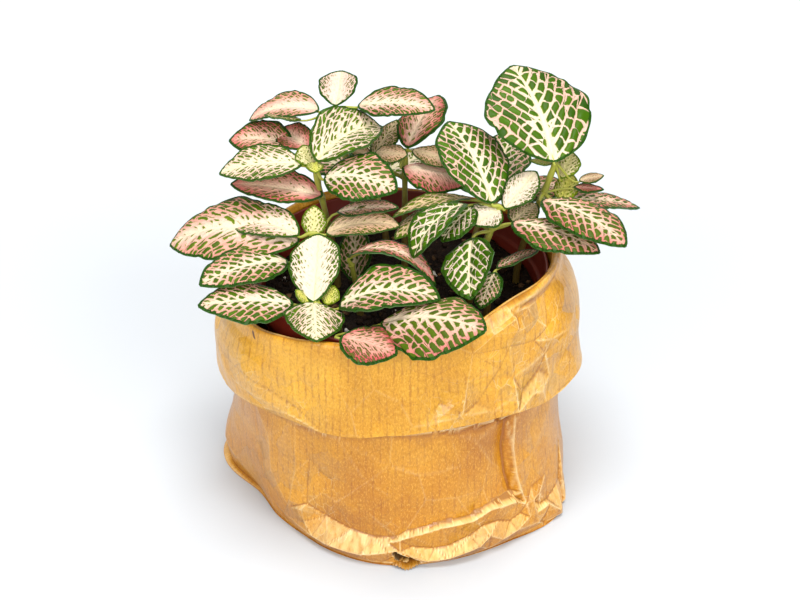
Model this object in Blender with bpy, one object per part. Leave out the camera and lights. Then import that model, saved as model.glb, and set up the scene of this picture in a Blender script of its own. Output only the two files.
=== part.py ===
"""Potted nerve plant (Fittonia): leafy shoots in soil, in a nursery pot, in a kraft-paper bag with a cuff.

Metres in the scene, millimetres and degrees in the tables. +Z up, +X to the right, -Y to the front.
The origin is the centre of the bag's flat bottom.
"""

import math
from collections import namedtuple

import bmesh
import bpy
import numpy as np

MM = 0.001
GAP = 0.3                    # clearance between neighbouring pieces

# Nursery pot, mm
POT_RIM_RADIUS = 60.0
POT_TOP = 103.0
POT_FOOT_RADIUS = 42.0
POT_WALL = 1.2
POT_LIP_HEIGHT = 11.0
POT_LIP_STEP = 2.2
POT_FLOOR = 1.6
POT_FOOT_RISE = 1.5          # the floor stands this far above the ring that the pot stands on
POT_FOOT_RING = 5.0          # width of that ring
POT_CENTRE_HOLE = 8.0
POT_EDGE = 0.6               # rounding of the rim
POT_SIDES = 36
DRAIN_HOLES = 4
DRAIN_RADIUS = 4.5
DRAIN_RING_RADIUS = 27.0
CUTTER_SIDES = 8

# Soil, mm
SOIL_TOP = 88.0
SOIL_SIDES = 28
SOIL_RINGS = (0.35, 0.65, 0.88)   # of its radius at the top
SOIL_CLEARANCE = 0.4         # to the pot's wall, whose flat sides come in a little between its corners
STEM_HOLE_DEPTH = 12.0
STEM_CLEARANCE = 0.5

# Paper bag, mm
PAPER = 0.9
BAG_SIDES = 42
WAIST_HEIGHT = 45.0
FOLD_RADIUS = 1.5            # of the turn at the crest
FOOT_ROUND = 2.5             # of the turn from the bottom into the side
# angle: foot radius, waist radius, crest radius, crest height, cuff radius half way, hem radius, hem height
BAG_SECTIONS = {
    -180: (76, 70, 67, 100, 76, 76, 57),
    -161: (64, 68, 68, 99, 76, 74, 59),
    -144: (63, 66, 69, 99, 74, 70, 61),
    -130: (63, 65, 67, 101, 69, 67, 62),
    -115: (65, 64, 64, 103, 67, 68, 63),
    -97: (67, 64, 63, 105, 66, 68, 66),
    -75: (67, 65, 63, 106, 67, 69, 70),
    -50: (69, 66, 63, 115, 68, 69, 67),
    -29: (75, 67, 63, 114, 69, 69, 60),
    -12: (71, 67, 63, 112, 73, 75, 62),
    6: (68, 67, 63, 110, 72, 73, 62),
    30: (70, 67, 63, 106, 69, 71, 60),
    50: (71, 66, 63, 103, 68, 70, 60),
    75: (67, 65, 63, 101, 67, 69, 61),
    100: (66, 65, 63, 103, 67, 69, 61),
    125: (71, 66, 63, 105, 68, 70, 60),
    150: (69, 67, 64, 103, 70, 72, 58),
    168: (78, 70, 66, 101, 74, 75, 57),
}

POT_BOTTOM = PAPER + GAP     # the pot stands on the paper

# Shoots, mm and degrees
STEM_RADIUS = 1.5
STEM_TIP_RADIUS = 1.0
PETIOLE_RADIUS = 0.9
PETIOLE_TIP_RADIUS = 0.4
STEM_SIDES = 5
PETIOLE_SIDES = 4
BLADE = 0.8
BLADE_SIZES = ((16, (3, 2)), (25, (5, 2)), (36, (5, 4)), (100, (6, 4)))   # length below: rows, columns
NARROWEST = 0.07             # half-width at the two ends, as a share of the greatest
FOOT_FULLNESS = 0.62         # a lower power gives a rounder foot
POINT_FULLNESS = 0.72
RIPPLES = 1.5                # waves along each margin
RIPPLE_SHIFT = 0.3           # of one margin's waves against the other's

# foot: where the blade starts, from the shoot's crown. turn, rise: the midrib's heading there.
# droop, sweep: how far the heading falls and swings by the tip. roll: about the midrib, left side up.
# left, right: how each half stands up from the midrib. curl: how its margin turns down again.
# wave: height of the margin's ripples. full: where the blade is widest. node: how high its petiole
# leaves the stem, 1 at the crown.
Leaf = namedtuple(
    "Leaf",
    "foot turn rise long wide droop roll left right curl sweep full node wave",
    defaults=(20, 0, 10, 10, 25, 0, 0.46, 1.0, 0.4),
)
# tint: the colour that its leaves have from a step away.
Shoot = namedtuple("Shoot", "root crown tint leaves")

CREAM = (0.62, 0.62, 0.36)
BLUSH = (0.58, 0.44, 0.30)
SALMON = (0.60, 0.32, 0.26)
GREEN = (0.22, 0.36, 0.12)

SHOOTS = {
    "shoot_front_left": Shoot((-24, -30), (-32, -38, 108), CREAM, [
        Leaf((-1, 0, 0), 90, 45, 29, 21, 20, -5, 10, 20, 20, sweep=-5, full=0.6),
        Leaf((-1, 0, 0), -85, 10, 23, 23, 35, -5, 5, 10, 25, full=0.42),
        Leaf((-9, 1, -1), -165, 20, 37, 25, 25, -5, 5, 10, 25, node=0.8),
        Leaf((9, -3, 0), -10, 45, 42, 27, 65, 5, 20, 15, 20, sweep=-5, node=0.8),
        Leaf((4, 0, -1), 65, 40, 8, 8, 0, wave=0),
        Leaf((-3, 0, 0), 160, 40, 7, 6, 0, wave=0),
    ]),
    "shoot_left": Shoot((-28, -8), (-35, -8, 121), BLUSH, [
        Leaf((1, 0, -2), 90, 50, 13, 10, 0, full=0.5, wave=0),
        Leaf((-5, 0, -1), 155, 20, 34, 20, 50, -10, 20, 20, 20, sweep=5),
        Leaf((6, 0, 0), 0, 30, 30, 18, 45, 5, 20, 15, 20, sweep=-5),
        Leaf((-5, 0, -4), 170, 25, 57, 34, 65, -15, 5, 10, 25, full=0.5, node=0.8),
        Leaf((-9, -8, -8), -150, 20, 39, 23, 35, -5, 10, 15, 25, sweep=5, node=0.6),
        Leaf((10, 10, 4), -15, 20, 26, 13, 15, 0, 15, 15, 25, node=0.8),
    ]),
    "shoot_upper_left": Shoot((-26, 8), (-34, 12, 140), CREAM, [
        Leaf((-1, 0, 0), 120, 40, 10, 11, 5, full=0.5, wave=0),
        Leaf((0, 0, 2), -85, 20, 10, 7, 35, full=0.5, wave=0),
        Leaf((1, -3, 4), 45, 35, 35, 27, 55, 10, 30, 20, 15, sweep=-5, full=0.5),
        Leaf((-5, 0, 1), 180, 10, 34, 21, 35, -10, 10, 20, 20),
        Leaf((4, -6, -2), -25, 30, 33, 24, 55, 15, 20, 0, 25, node=0.9),
        Leaf((3, -4, -11), 170, 10, 38, 20, 15, -10, 15, 20, 20, node=0.75),
    ]),
    "shoot_top": Shoot((-18, 28), (-25, 36, 154), BLUSH, [
        Leaf((-1, 0, 1), 85, 40, 17, 17, 15, -5, 15, 20, 20, sweep=-5, full=0.6),
        Leaf((-8, 0, -1), 170, 15, 31, 19, 55, -10, 20, 15, 20, sweep=5, full=0.4),
        Leaf((8, -2, 2), -15, 20, 33, 19, 30, 10, 20, 10, 20, sweep=-5),
        Leaf((-19, -9, -12), 160, 10, 28, 20, 30, -15, 15, 20, 20, sweep=5, node=0.7),
        Leaf((-12, -12, -12), 135, 15, 18, 15, 15, -10, 10, 25, 20, full=0.5, node=0.7),
        Leaf((-15, -6, -2), -175, 10, 15, 10, 0, 20, 5, 15, 25, node=0.9),
    ]),
    "shoot_middle": Shoot((2, 22), (2, 26, 140), SALMON, [
        Leaf((1, 0, 1), 65, 40, 31, 22, 35, -10, 5, 15, 25, sweep=-5, full=0.5),
        Leaf((-13, 4, -5), 50, 40, 19, 12, 10, 0, 5, 5, 25, node=0.8),
        Leaf((-12, -2, 0), -20, 10, 14, 11, 10, 15, 15, 5, 25, node=0.9),
        Leaf((-1, -5, -5), -20, 15, 28, 22, 45, 0, 0, -10, 35, full=0.5, node=0.9),
        Leaf((3, 0, 0), -30, 5, 21, 11, 25, 10, 20, 10, 20),
        Leaf((-14, 0, -3), 150, 15, 12, 8, 15, -5, 15, 20, 20, node=0.8),
    ]),
    "shoot_right": Shoot((28, -8), (39, -6, 132), GREEN, [
        Leaf((-3, -1, 2), 115, 50, 40, 31, 35, 5, 15, 10, 25, sweep=10, full=0.55),
        Leaf((2, 0, -1), 40, 40, 20, 15, 15, 5, 15, 10, 25, full=0.55),
        Leaf((0, 0, -1), -140, 0, 14, 14, 20, -10, 10, 20, 25, full=0.5),
        Leaf((-13, 0, 1), -140, 15, 34, 18, 75, 5, 25, 15, 20, sweep=10, full=0.55, node=0.9),
        Leaf((-10, 0, 0), -130, 0, 21, 15, 45, 0, 10, 10, 25, sweep=-5, full=0.5, node=0.9),
        Leaf((-11, -11, -8), -100, -15, 29, 22, 15, 20, 25, 10, 20, sweep=15, full=0.42, node=0.7),
        Leaf((5, -2, -6), -30, 15, 39, 23, 35, 0, 5, 0, 30, sweep=-5, node=0.8),
        Leaf((5, 0, -7), 45, 15, 15, 13, 10, 5, 10, 10, 25, node=0.8),
        Leaf((-11, 8, -1), -165, 15, 33, 13, 40, 15, 10, 20, 20, sweep=5, node=0.9),
        Leaf((-24, 8, -3), -135, -5, 25, 15, 20, 10, 5, 0, 30, node=0.7),
    ]),
    "shoot_tall_right": Shoot((48, 8), (61, 6, 145), GREEN, [
        Leaf((-1, -5, 3), 100, 40, 49, 44, 25, 0, 10, 10, 25, sweep=20, full=0.5),
        Leaf((3, 0, -7), 60, 40, 12, 11, 5, full=0.55, wave=0),
        Leaf((-1, 0, 0), -175, 10, 9, 7, 5, 5, wave=0),
        Leaf((3, 0, -17), 55, 40, 12, 11, 0, full=0.5, node=0.7, wave=0),
        Leaf((10, 0, -8), 5, 15, 10, 7, 10, 5, wave=0, node=0.9),
        Leaf((-5, -7, -13), -40, 15, 43, 25, 40, 0, 5, 5, 30, sweep=-10, full=0.5, node=0.7),
        Leaf((1, -3, -16), 10, 5, 36, 20, 30, -5, 10, 15, 25, node=0.7),
        Leaf((8, 0, -11), -10, 5, 12, 6, 10, 10, node=0.8),
    ]),
    "shoot_front": Shoot((-8, -34), (-10, -40, 98), SALMON, [
        Leaf((-12, -20, 9), -25, 10, 23, 22, 30, 5, 10, 5, 25, sweep=5, full=0.5, node=0.8),
        Leaf((3, -12, 10), -25, 35, 45, 35, 45, 10, 0, -10, 35, sweep=-5, full=0.5, node=0.8),
    ]),
    "shoot_inner": Shoot((-16, -14), (-19, -17, 112), SALMON, [
        Leaf((-1, -1, 4), -15, 45, 42, 19, 110, -5, 5, 25, 20, sweep=-5),
        Leaf((1, 8, -13), 90, 55, 24, 16, 10, -20, 5, 25, 20, node=0.4),
    ]),
    "shoot_low_right": Shoot((34, -24), (36, -21, 108), GREEN, [
        Leaf((1, -5, 6), -115, -10, 18, 12, 25, 5, 15, 10, 25, sweep=5, full=0.5),
        Leaf((2, 3, 3), 30, 15, 20, 11, 15, -5, 0, 25, 20),
    ]),
    "shoot_back": Shoot((-6, 38), (-12, 50, 116), BLUSH, [
        Leaf((0, 1, 0), 90, 35, 30, 21, 30),
        Leaf((-4, 0, -1), 150, 20, 34, 22, 40, node=0.9),
        Leaf((4, 1, -1), 35, 20, 33, 22, 40, node=0.9),
        Leaf((-2, 4, -8), 110, 10, 33, 23, 45, node=0.6),
        Leaf((0, -1, 1), -80, 55, 9, 8, 0, wave=0),
    ]),
    "shoot_back_right": Shoot((30, 26), (38, 36, 116), GREEN, [
        Leaf((1, 1, 0), 70, 40, 34, 24, 35),
        Leaf((4, -1, -2), 10, 20, 34, 22, 40, node=0.9),
        Leaf((-2, 3, -4), 115, 20, 33, 22, 50, node=0.8),
        Leaf((4, 5, -7), 50, 5, 32, 22, 40, node=0.6),
        Leaf((0, -1, 1), -60, 55, 9, 8, 0, wave=0),
    ]),
}


def clear_scene():
    for item in list(bpy.data.objects):
        bpy.data.objects.remove(item)


def make_material(name, colour, roughness, metallic=0.0):
    material = bpy.data.materials.new(name)
    material.use_nodes = True
    shader = material.node_tree.nodes["Principled BSDF"]
    shader.inputs["Base Color"].default_value = (*colour, 1.0)
    shader.inputs["Roughness"].default_value = roughness
    shader.inputs["Metallic"].default_value = metallic
    return material


def add_object(name, points, faces, collection=None):
    """An object from points in mm and faces as lists of point numbers."""
    mesh = bpy.data.meshes.new(name)
    mesh.from_pydata((np.asarray(points) * MM).tolist(), [], [list(face) for face in faces])
    mesh.update()
    item = bpy.data.objects.new(name, mesh)
    (collection or bpy.context.scene.collection).objects.link(item)
    return item


# ---------------------------------------------------------------- leaves


def heading(turn, rise):
    """Unit vectors from angles in degrees: turn is about +Z from +X, rise is above the horizontal."""
    turn = np.radians(turn)
    rise = np.radians(rise)
    return np.stack([np.cos(rise) * np.cos(turn), np.cos(rise) * np.sin(turn), np.sin(rise)], axis=-1)


def half_width(share, full):
    """A blade's half-width along its length, as a share of its greatest: rounded foot, blunter point."""
    foot = np.sin(np.clip(share / full, 0, 1) * math.pi / 2) ** FOOT_FULLNESS
    point = np.cos(np.clip((share - full) / (1 - full), 0, 1) * math.pi / 2) ** POINT_FULLNESS
    return np.maximum(np.minimum(foot, point), NARROWEST)


def blade_surface(leaf, foot, rows, columns):
    """The blade's middle surface as an array of (rows + 1, columns + 1) points, in mm.

    The rows are closer at the foot and the tip, where the outline turns most.
    """
    even = np.linspace(0, 1, rows + 1)
    share = 0.5 * even + 0.25 * (1 - np.cos(math.pi * even))
    middle = (share[1:] + share[:-1]) / 2
    steps = heading(leaf.turn + leaf.sweep * middle, leaf.rise - leaf.droop * middle)
    steps = steps * (np.diff(share) * leaf.long)[:, None]
    rib = np.asarray(foot, float) + np.concatenate([np.zeros((1, 3)), np.cumsum(steps, axis=0)])
    turn = leaf.turn + leaf.sweep * share
    along = heading(turn, leaf.rise - leaf.droop * share)
    level = heading(turn + 90, np.zeros_like(share))
    above = np.cross(along, level)
    roll = math.radians(leaf.roll)
    side = level * math.cos(roll) + above * math.sin(roll)
    above = above * math.cos(roll) - level * math.sin(roll)
    across = np.linspace(-1, 1, columns + 1)
    out = np.abs(across)
    fold = np.where(across > 0, leaf.left, leaf.right)
    lean = np.radians(fold - leaf.curl * out / 2)
    width = half_width(share, leaf.full)[:, None]
    reach = width * leaf.wide / 2 * across[None, :]
    ripple = leaf.wave * out ** 2 * np.sin(
        (RIPPLES * share[:, None] + RIPPLE_SHIFT * np.sign(across)) * 2 * math.pi + leaf.turn
    )
    lift = np.abs(reach) * np.sin(lean) + ripple * width
    return (
        rib[:, None, :]
        + side[:, None, :] * (reach * np.cos(lean))[:, :, None]
        + above[:, None, :] * lift[:, :, None]
    )


def surface_normals(grid):
    along = np.gradient(grid, axis=0)
    across = np.gradient(grid, axis=1)
    normal = np.cross(along, across)
    return normal / np.linalg.norm(normal, axis=-1, keepdims=True)


def blade_size(leaf):
    """Rows along and columns across a blade: more on the larger leaves."""
    for longest, size in BLADE_SIZES:
        if leaf.long < longest:
            return size


def blade_solid(leaf, foot):
    """Points and faces of a blade with its thickness, each quad split alike above and below."""
    rows, columns = blade_size(leaf)
    grid = blade_surface(leaf, foot, rows, columns)
    normal = surface_normals(grid)
    top = (grid + normal * BLADE / 2).reshape(-1, 3)
    under = (grid - normal * BLADE / 2).reshape(-1, 3)
    wide = columns + 1
    count = len(top)
    faces = []
    for row in range(rows):
        for column in range(columns):
            a = row * wide + column
            b, c, d = a + wide, a + wide + 1, a + 1
            for x, y, z in ((a, b, c), (a, c, d)):
                faces.append((x, y, z))
                faces.append((z + count, y + count, x + count))
    edge = list(range(wide))
    edge += [row * wide + columns for row in range(1, rows + 1)]
    edge += [rows * wide + column for column in range(columns - 1, -1, -1)]
    edge += [row * wide for row in range(rows - 1, 0, -1)]
    for here, there in zip(edge, edge[1:] + edge[:1]):
        faces.append((here, there, there + count))
        faces.append((here, there + count, here + count))
    return np.concatenate([top, under]), faces


def curve_through(start, start_way, end, end_way, count):
    """Points of a smooth curve between two ends, leaving and arriving along the given directions."""
    start, start_way = np.asarray(start, float), np.asarray(start_way, float)
    end, end_way = np.asarray(end, float), np.asarray(end_way, float)
    pull = np.linalg.norm(end - start) / 3
    share = np.linspace(0, 1, count)[:, None]
    return (
        (1 - share) ** 3 * start
        + 3 * (1 - share) ** 2 * share * (start + start_way * pull)
        + 3 * (1 - share) * share ** 2 * (end - end_way * pull)
        + share ** 3 * end
    )


def tube_solid(path, radii, sides):
    path = np.asarray(path, float)
    ways = np.gradient(path, axis=0)
    ways /= np.linalg.norm(ways, axis=1, keepdims=True)
    side = np.cross(ways[0], (0.3, 1.0, 0.2))
    points = []
    for centre, way, radius in zip(path, ways, radii):
        side = side - way * np.dot(side, way)
        side = side / np.linalg.norm(side)
        other = np.cross(way, side)
        for step in range(sides):
            angle = 2 * math.pi * step / sides
            points.append(centre + (side * math.cos(angle) + other * math.sin(angle)) * radius)
    faces = []
    for ring in range(len(path) - 1):
        for step in range(sides):
            a = ring * sides + step
            b = ring * sides + (step + 1) % sides
            faces.append((a, b, b + sides, a + sides))
    faces.append(tuple(reversed(range(sides))))
    faces.append(tuple(range((len(path) - 1) * sides, len(path) * sides)))
    return np.array(points), faces


def stem_path(shoot, count=5):
    """From the bottom of its hole in the soil to its crown, upright at first and leaning out as it climbs."""
    root = np.array((*shoot.root, SOIL_TOP - STEM_HOLE_DEPTH + GAP))
    lean = np.array(shoot.crown, float) - (*shoot.root, SOIL_TOP)
    lean /= np.linalg.norm(lean)
    above_soil = np.array((*shoot.root, SOIL_TOP + 1.0))
    rest = curve_through(above_soil, (0, 0, 1), shoot.crown, lean, count)
    return np.concatenate([[root], rest])


def leaf_parts(shoot, leaf, path):
    """The petiole's route and radii, from its place on the stem along the blade's rib, and the blade's foot."""
    foot = np.array(shoot.crown, float) + leaf.foot
    start = path[1 + round(leaf.node * (len(path) - 2))]
    rib = blade_surface(leaf, foot, 12, 2)[:, 1]
    inner = rib[2:3]
    way = (foot - start) + (0, 0, 2)
    way = way / np.linalg.norm(way)
    lead = curve_through(start, way, foot, heading(leaf.turn, leaf.rise), 3)
    route = np.concatenate([lead, inner])
    return foot, route, np.linspace(PETIOLE_RADIUS, PETIOLE_TIP_RADIUS, len(route))


def make_shoot(name, shoot, material):
    group = bpy.data.collections.new(name + "_leaves")
    bpy.context.scene.collection.children.link(group)
    path = stem_path(shoot)
    radii = np.linspace(STEM_RADIUS, STEM_TIP_RADIUS, len(path))
    stem = add_object(name, *tube_solid(path, radii, STEM_SIDES))
    for leaf in shoot.leaves:
        foot, route, radii = leaf_parts(shoot, leaf, path)
        add_object("petiole", *tube_solid(route, radii, PETIOLE_SIDES), group)
        add_object("blade", *blade_solid(leaf, foot), group)
    join_collection(stem, group)
    keep_largest_body(stem)
    stem.data.materials.clear()
    stem.data.materials.append(material)
    return stem


def keep_largest_body(item):
    """Fills what fusing sealed in and drops loose scraps: only the largest closed surface stays."""
    work = bmesh.new()
    work.from_mesh(item.data)
    bodies = []
    left = set(work.faces)
    while left:
        body = {left.pop()}
        edge = list(body)
        while edge:
            face = edge.pop()
            for near in (f for side in face.edges for f in side.link_faces):
                if near in left:
                    left.remove(near)
                    body.add(near)
                    edge.append(near)
        bodies.append(body)
    bodies.sort(key=len)
    scraps = [face for body in bodies[:-1] for face in body]
    bmesh.ops.delete(work, geom=scraps, context="FACES")
    work.to_mesh(item.data)
    work.free()


def join_collection(item, group, solver="MANIFOLD"):
    """Fuses every object of the collection into the item, and removes them."""
    modifier = item.modifiers.new("join", "BOOLEAN")
    modifier.operation = "UNION"
    modifier.operand_type = "COLLECTION"
    modifier.collection = group
    modifier.solver = solver
    bpy.ops.object.select_all(action="DESELECT")
    bpy.context.view_layer.objects.active = item
    item.select_set(True)
    bpy.ops.object.modifier_apply(modifier=modifier.name)
    for part in list(group.objects):
        bpy.data.objects.remove(part)
    bpy.data.collections.remove(group)


# ---------------------------------------------------------------- paper bag


def around(angle, column):
    """A section's value at any angle in degrees, flowing smoothly from section to section round the bag."""
    keys = sorted(BAG_SECTIONS)
    knots = np.array([keys[-2] - 360, keys[-1] - 360, *keys, keys[0] + 360, keys[1] + 360], float)
    values = np.array([BAG_SECTIONS[int((k + 180) % 360 - 180)][column] for k in knots], float)
    angle = (np.asarray(angle, float) + 180) % 360 - 180
    i = np.clip(np.searchsorted(knots, angle, side="right") - 1, 1, len(knots) - 3)
    left, right = knots[i], knots[i + 1]
    share = (angle - left) / (right - left)
    slope_left = (values[i + 1] - values[i - 1]) / (knots[i + 1] - knots[i - 1]) * (right - left)
    slope_right = (values[i + 2] - values[i]) / (knots[i + 2] - knots[i]) * (right - left)
    return (
        (2 * share ** 3 - 3 * share ** 2 + 1) * values[i]
        + (share ** 3 - 2 * share ** 2 + share) * slope_left
        + (3 * share ** 2 - 2 * share ** 3) * values[i + 1]
        + (share ** 3 - share ** 2) * slope_right
    )


def bag_rings(angles):
    """Radius and height of each ring of the paper's middle, from near the centre of the bottom to the hem."""
    foot, waist, crest, top, cuff, hem, hem_height = (around(angles, column) for column in range(7))
    low = np.full_like(angles, PAPER / 2)
    inside = crest - FOLD_RADIUS
    outside = crest + FOLD_RADIUS
    turn = FOLD_RADIUS * 0.2
    drop = FOLD_RADIUS * 0.8
    bottom = [
        (foot * 0.5, low),
        (foot - FOOT_ROUND, low),
        (foot - FOOT_ROUND * 0.2, low + FOOT_ROUND * 0.6),
    ]
    side = [
        (foot * 0.6 + waist * 0.4 + 1.0, low + WAIST_HEIGHT / 3),
        (foot * 0.2 + waist * 0.8 + 0.6, low + WAIST_HEIGHT * 2 / 3),
        (waist, low + WAIST_HEIGHT),
        ((waist + inside) / 2, (top + WAIST_HEIGHT) / 2),
        (inside, top - 5),
    ]
    fold = [
        (inside + turn, top - drop),
        (crest, top),
        (outside - turn, top - drop),
    ]
    cuff_rings = [
        (outside + 0.5, top - 5),
        (outside * 0.4 + cuff * 0.6, top * 0.75 + hem_height * 0.25),
        (cuff, (top + hem_height) / 2),
        (hem, hem_height),
    ]
    return bottom + side + fold + cuff_rings


def bag_solid():
    """The sheet's inner and outer faces, joined at the hem and closed at the centre of the bottom."""
    angles = np.arange(BAG_SIDES) * 360 / BAG_SIDES - 180
    rings = bag_rings(angles)
    flat = np.radians(angles)
    grid = np.array([
        np.stack([radius * np.cos(flat), radius * np.sin(flat), height], axis=-1)
        for radius, height in rings
    ])
    wrapped = np.concatenate([grid[:, -1:], grid, grid[:, :1]], axis=1)
    normal = surface_normals(wrapped)[:, 1:-1]
    inner = grid + normal * PAPER / 2
    outer = grid - normal * PAPER / 2
    inner[:2, :, 2] = PAPER
    outer[:2, :, 2] = 0
    outer[..., 2] = np.maximum(outer[..., 2], 0)
    count = len(rings) * BAG_SIDES
    points = np.concatenate([inner.reshape(-1, 3), outer.reshape(-1, 3), [(0, 0, PAPER), (0, 0, 0)]])
    faces = []
    for side in range(BAG_SIDES):
        after = (side + 1) % BAG_SIDES
        faces.append((2 * count, side, after))
        faces.append((2 * count + 1, after + count, side + count))
        for ring in range(len(rings) - 1):
            a = ring * BAG_SIDES + side
            b = ring * BAG_SIDES + after
            c, d = b + BAG_SIDES, a + BAG_SIDES
            for x, y, z in ((a, d, c), (a, c, b)):
                faces.append((x, y, z))
                faces.append((z + count, y + count, x + count))
        a = (len(rings) - 1) * BAG_SIDES + side
        b = (len(rings) - 1) * BAG_SIDES + after
        faces.append((a, a + count, b + count))
        faces.append((a, b + count, b))
    return points, faces


def make_bag(material):
    bag = add_object("paper_bag", *bag_solid())
    fix_normals(bag)
    bag.data.materials.append(material)
    return bag


def fix_normals(item):
    work = bmesh.new()
    work.from_mesh(item.data)
    bmesh.ops.recalc_face_normals(work, faces=work.faces)
    work.to_mesh(item.data)
    work.free()


# ---------------------------------------------------------------- pot and soil


def turned(name, profile, sides):
    """A closed profile of (radius, height) turned all the way round +Z."""
    work = bmesh.new()
    points = [work.verts.new((radius * MM, 0, height * MM)) for radius, height in profile]
    loop = [work.edges.new((points[i], points[(i + 1) % len(points)])) for i in range(len(points))]
    bmesh.ops.spin(
        work, geom=points + loop, cent=(0, 0, 0), axis=(0, 0, 1), angle=2 * math.pi,
        steps=sides, use_duplicate=False,
    )
    bmesh.ops.remove_doubles(work, verts=work.verts, dist=0.00001)
    bmesh.ops.recalc_face_normals(work, faces=work.faces)
    mesh = bpy.data.meshes.new(name)
    work.to_mesh(mesh)
    work.free()
    mesh.shade_smooth()
    mesh.set_sharp_from_angle(angle=math.radians(40))
    item = bpy.data.objects.new(name, mesh)
    bpy.context.scene.collection.objects.link(item)
    return item


def make_pot(material):
    """A tapered pot with a stepped lip. Its floor stands above its foot ring, and has drainage holes."""
    floor = POT_BOTTOM + POT_FOOT_RISE
    lip_bottom = POT_TOP - POT_LIP_HEIGHT
    shoulder = POT_RIM_RADIUS - POT_LIP_STEP
    inside = POT_RIM_RADIUS - POT_WALL
    pot = turned("nursery_pot", [
        (POT_CENTRE_HOLE, floor),
        (POT_FOOT_RADIUS - POT_FOOT_RING - 1, floor),
        (POT_FOOT_RADIUS - POT_FOOT_RING, POT_BOTTOM),
        (POT_FOOT_RADIUS - 1, POT_BOTTOM),
        (POT_FOOT_RADIUS, POT_BOTTOM + 1),
        (shoulder, lip_bottom),
        (POT_RIM_RADIUS - POT_EDGE, lip_bottom + POT_EDGE),
        (POT_RIM_RADIUS, POT_TOP - POT_EDGE),
        (POT_RIM_RADIUS - POT_EDGE, POT_TOP),
        (inside + POT_EDGE / 2, POT_TOP - POT_EDGE / 2),
        (inside - POT_EDGE, lip_bottom + POT_FLOOR),
        (shoulder - POT_WALL, lip_bottom),
        (POT_FOOT_RADIUS - POT_WALL, floor + POT_FLOOR),
        (POT_CENTRE_HOLE, floor + POT_FLOOR),
    ], POT_SIDES)
    pot.data.materials.append(material)
    turns = [2 * math.pi * hole / DRAIN_HOLES for hole in range(DRAIN_HOLES)]
    holes = [(DRAIN_RING_RADIUS * math.cos(turn), DRAIN_RING_RADIUS * math.sin(turn)) for turn in turns]
    cut_away(pot, [add_cutter(hole, floor, DRAIN_RADIUS, 6 * POT_FLOOR) for hole in holes])
    return pot


def add_cutter(place, middle, radius, depth):
    """An upright cylinder about a place (x, y), with its middle at a height, all in mm."""
    bpy.ops.mesh.primitive_cylinder_add(
        vertices=CUTTER_SIDES, radius=radius * MM, depth=depth * MM,
        location=(place[0] * MM, place[1] * MM, middle * MM),
    )
    return bpy.context.object


def cut_away(item, cutters):
    """Cuts the cutters out of the item and removes them."""
    for cutter in cutters:
        modifier = item.modifiers.new("cut", "BOOLEAN")
        modifier.operation = "DIFFERENCE"
        modifier.object = cutter
        modifier.solver = "EXACT"
        bpy.ops.object.select_all(action="DESELECT")
        bpy.context.view_layer.objects.active = item
        item.select_set(True)
        bpy.ops.object.modifier_apply(modifier=modifier.name)
        bpy.data.objects.remove(cutter)


def soil_height(x, y):
    """The soil's uneven top at a point in mm: firmed low by the stems, higher near the wall."""
    return (
        SOIL_TOP
        + 1.2 * np.sin(0.11 * x + 1.0) * np.cos(0.09 * y)
        + 0.7 * np.sin(0.23 * x - 0.17 * y)
        + 1.5 * ((x * x + y * y) / 3000.0) ** 2
    )


def soil_radius(height):
    """The soil fills the pot's taper, just clear of its wall."""
    floor = POT_BOTTOM + POT_FOOT_RISE + POT_FLOOR
    share = (height - floor) / (POT_TOP - POT_LIP_HEIGHT - floor)
    shoulder = POT_RIM_RADIUS - POT_LIP_STEP
    return POT_FOOT_RADIUS - POT_WALL + (shoulder - POT_FOOT_RADIUS) * share - SOIL_CLEARANCE


def soil_solid():
    """Rings of points over the top and down the wall, and a point at the centre of the top and bottom."""
    floor = POT_BOTTOM + POT_FOOT_RISE + POT_FLOOR + GAP
    angles = np.arange(SOIL_SIDES) * 2 * math.pi / SOIL_SIDES
    around_circle = np.stack([np.cos(angles), np.sin(angles)], axis=-1)
    rings = []
    for share in SOIL_RINGS:
        flat = around_circle * soil_radius(SOIL_TOP) * share
        rings.append(np.column_stack([flat, soil_height(*flat.T)]))
    for height in (SOIL_TOP - 0.5, floor):
        rings.append(np.column_stack([around_circle * soil_radius(height), np.full(SOIL_SIDES, height)]))
    points = np.concatenate([*rings, [(0, 0, soil_height(0, 0)), (0, 0, floor)]])
    last = (len(rings) - 1) * SOIL_SIDES
    top_centre = len(rings) * SOIL_SIDES
    faces = []
    for side in range(SOIL_SIDES):
        after = (side + 1) % SOIL_SIDES
        faces.append((top_centre, side, after))
        faces.append((top_centre + 1, last + after, last + side))
        for ring in range(len(rings) - 1):
            a = ring * SOIL_SIDES + side
            b = ring * SOIL_SIDES + after
            faces.append((a, a + SOIL_SIDES, b + SOIL_SIDES))
            faces.append((a, b + SOIL_SIDES, b))
    return points, faces


def make_soil(material):
    """The soil, with a plain hole for each shoot's stem."""
    soil = add_object("potting_soil", *soil_solid())
    fix_normals(soil)
    soil.data.materials.append(material)
    hole_radius = STEM_RADIUS + STEM_CLEARANCE
    cut_away(soil, [
        add_cutter(shoot.root, SOIL_TOP, hole_radius, 2 * STEM_HOLE_DEPTH) for shoot in SHOOTS.values()
    ])
    return soil


def main():
    clear_scene()
    paper = make_material("kraft_paper", (0.66, 0.38, 0.12), 0.6)
    plastic = make_material("pot_plastic", (0.38, 0.09, 0.05), 0.45)
    earth = make_material("potting_soil", (0.03, 0.02, 0.014), 0.95)
    make_bag(paper)
    make_pot(plastic)
    make_soil(earth)
    for name, shoot in SHOOTS.items():
        make_shoot(name, shoot, make_material(name + "_leaf", shoot.tint, 0.45))


if __name__ == "__main__":
    main()
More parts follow.
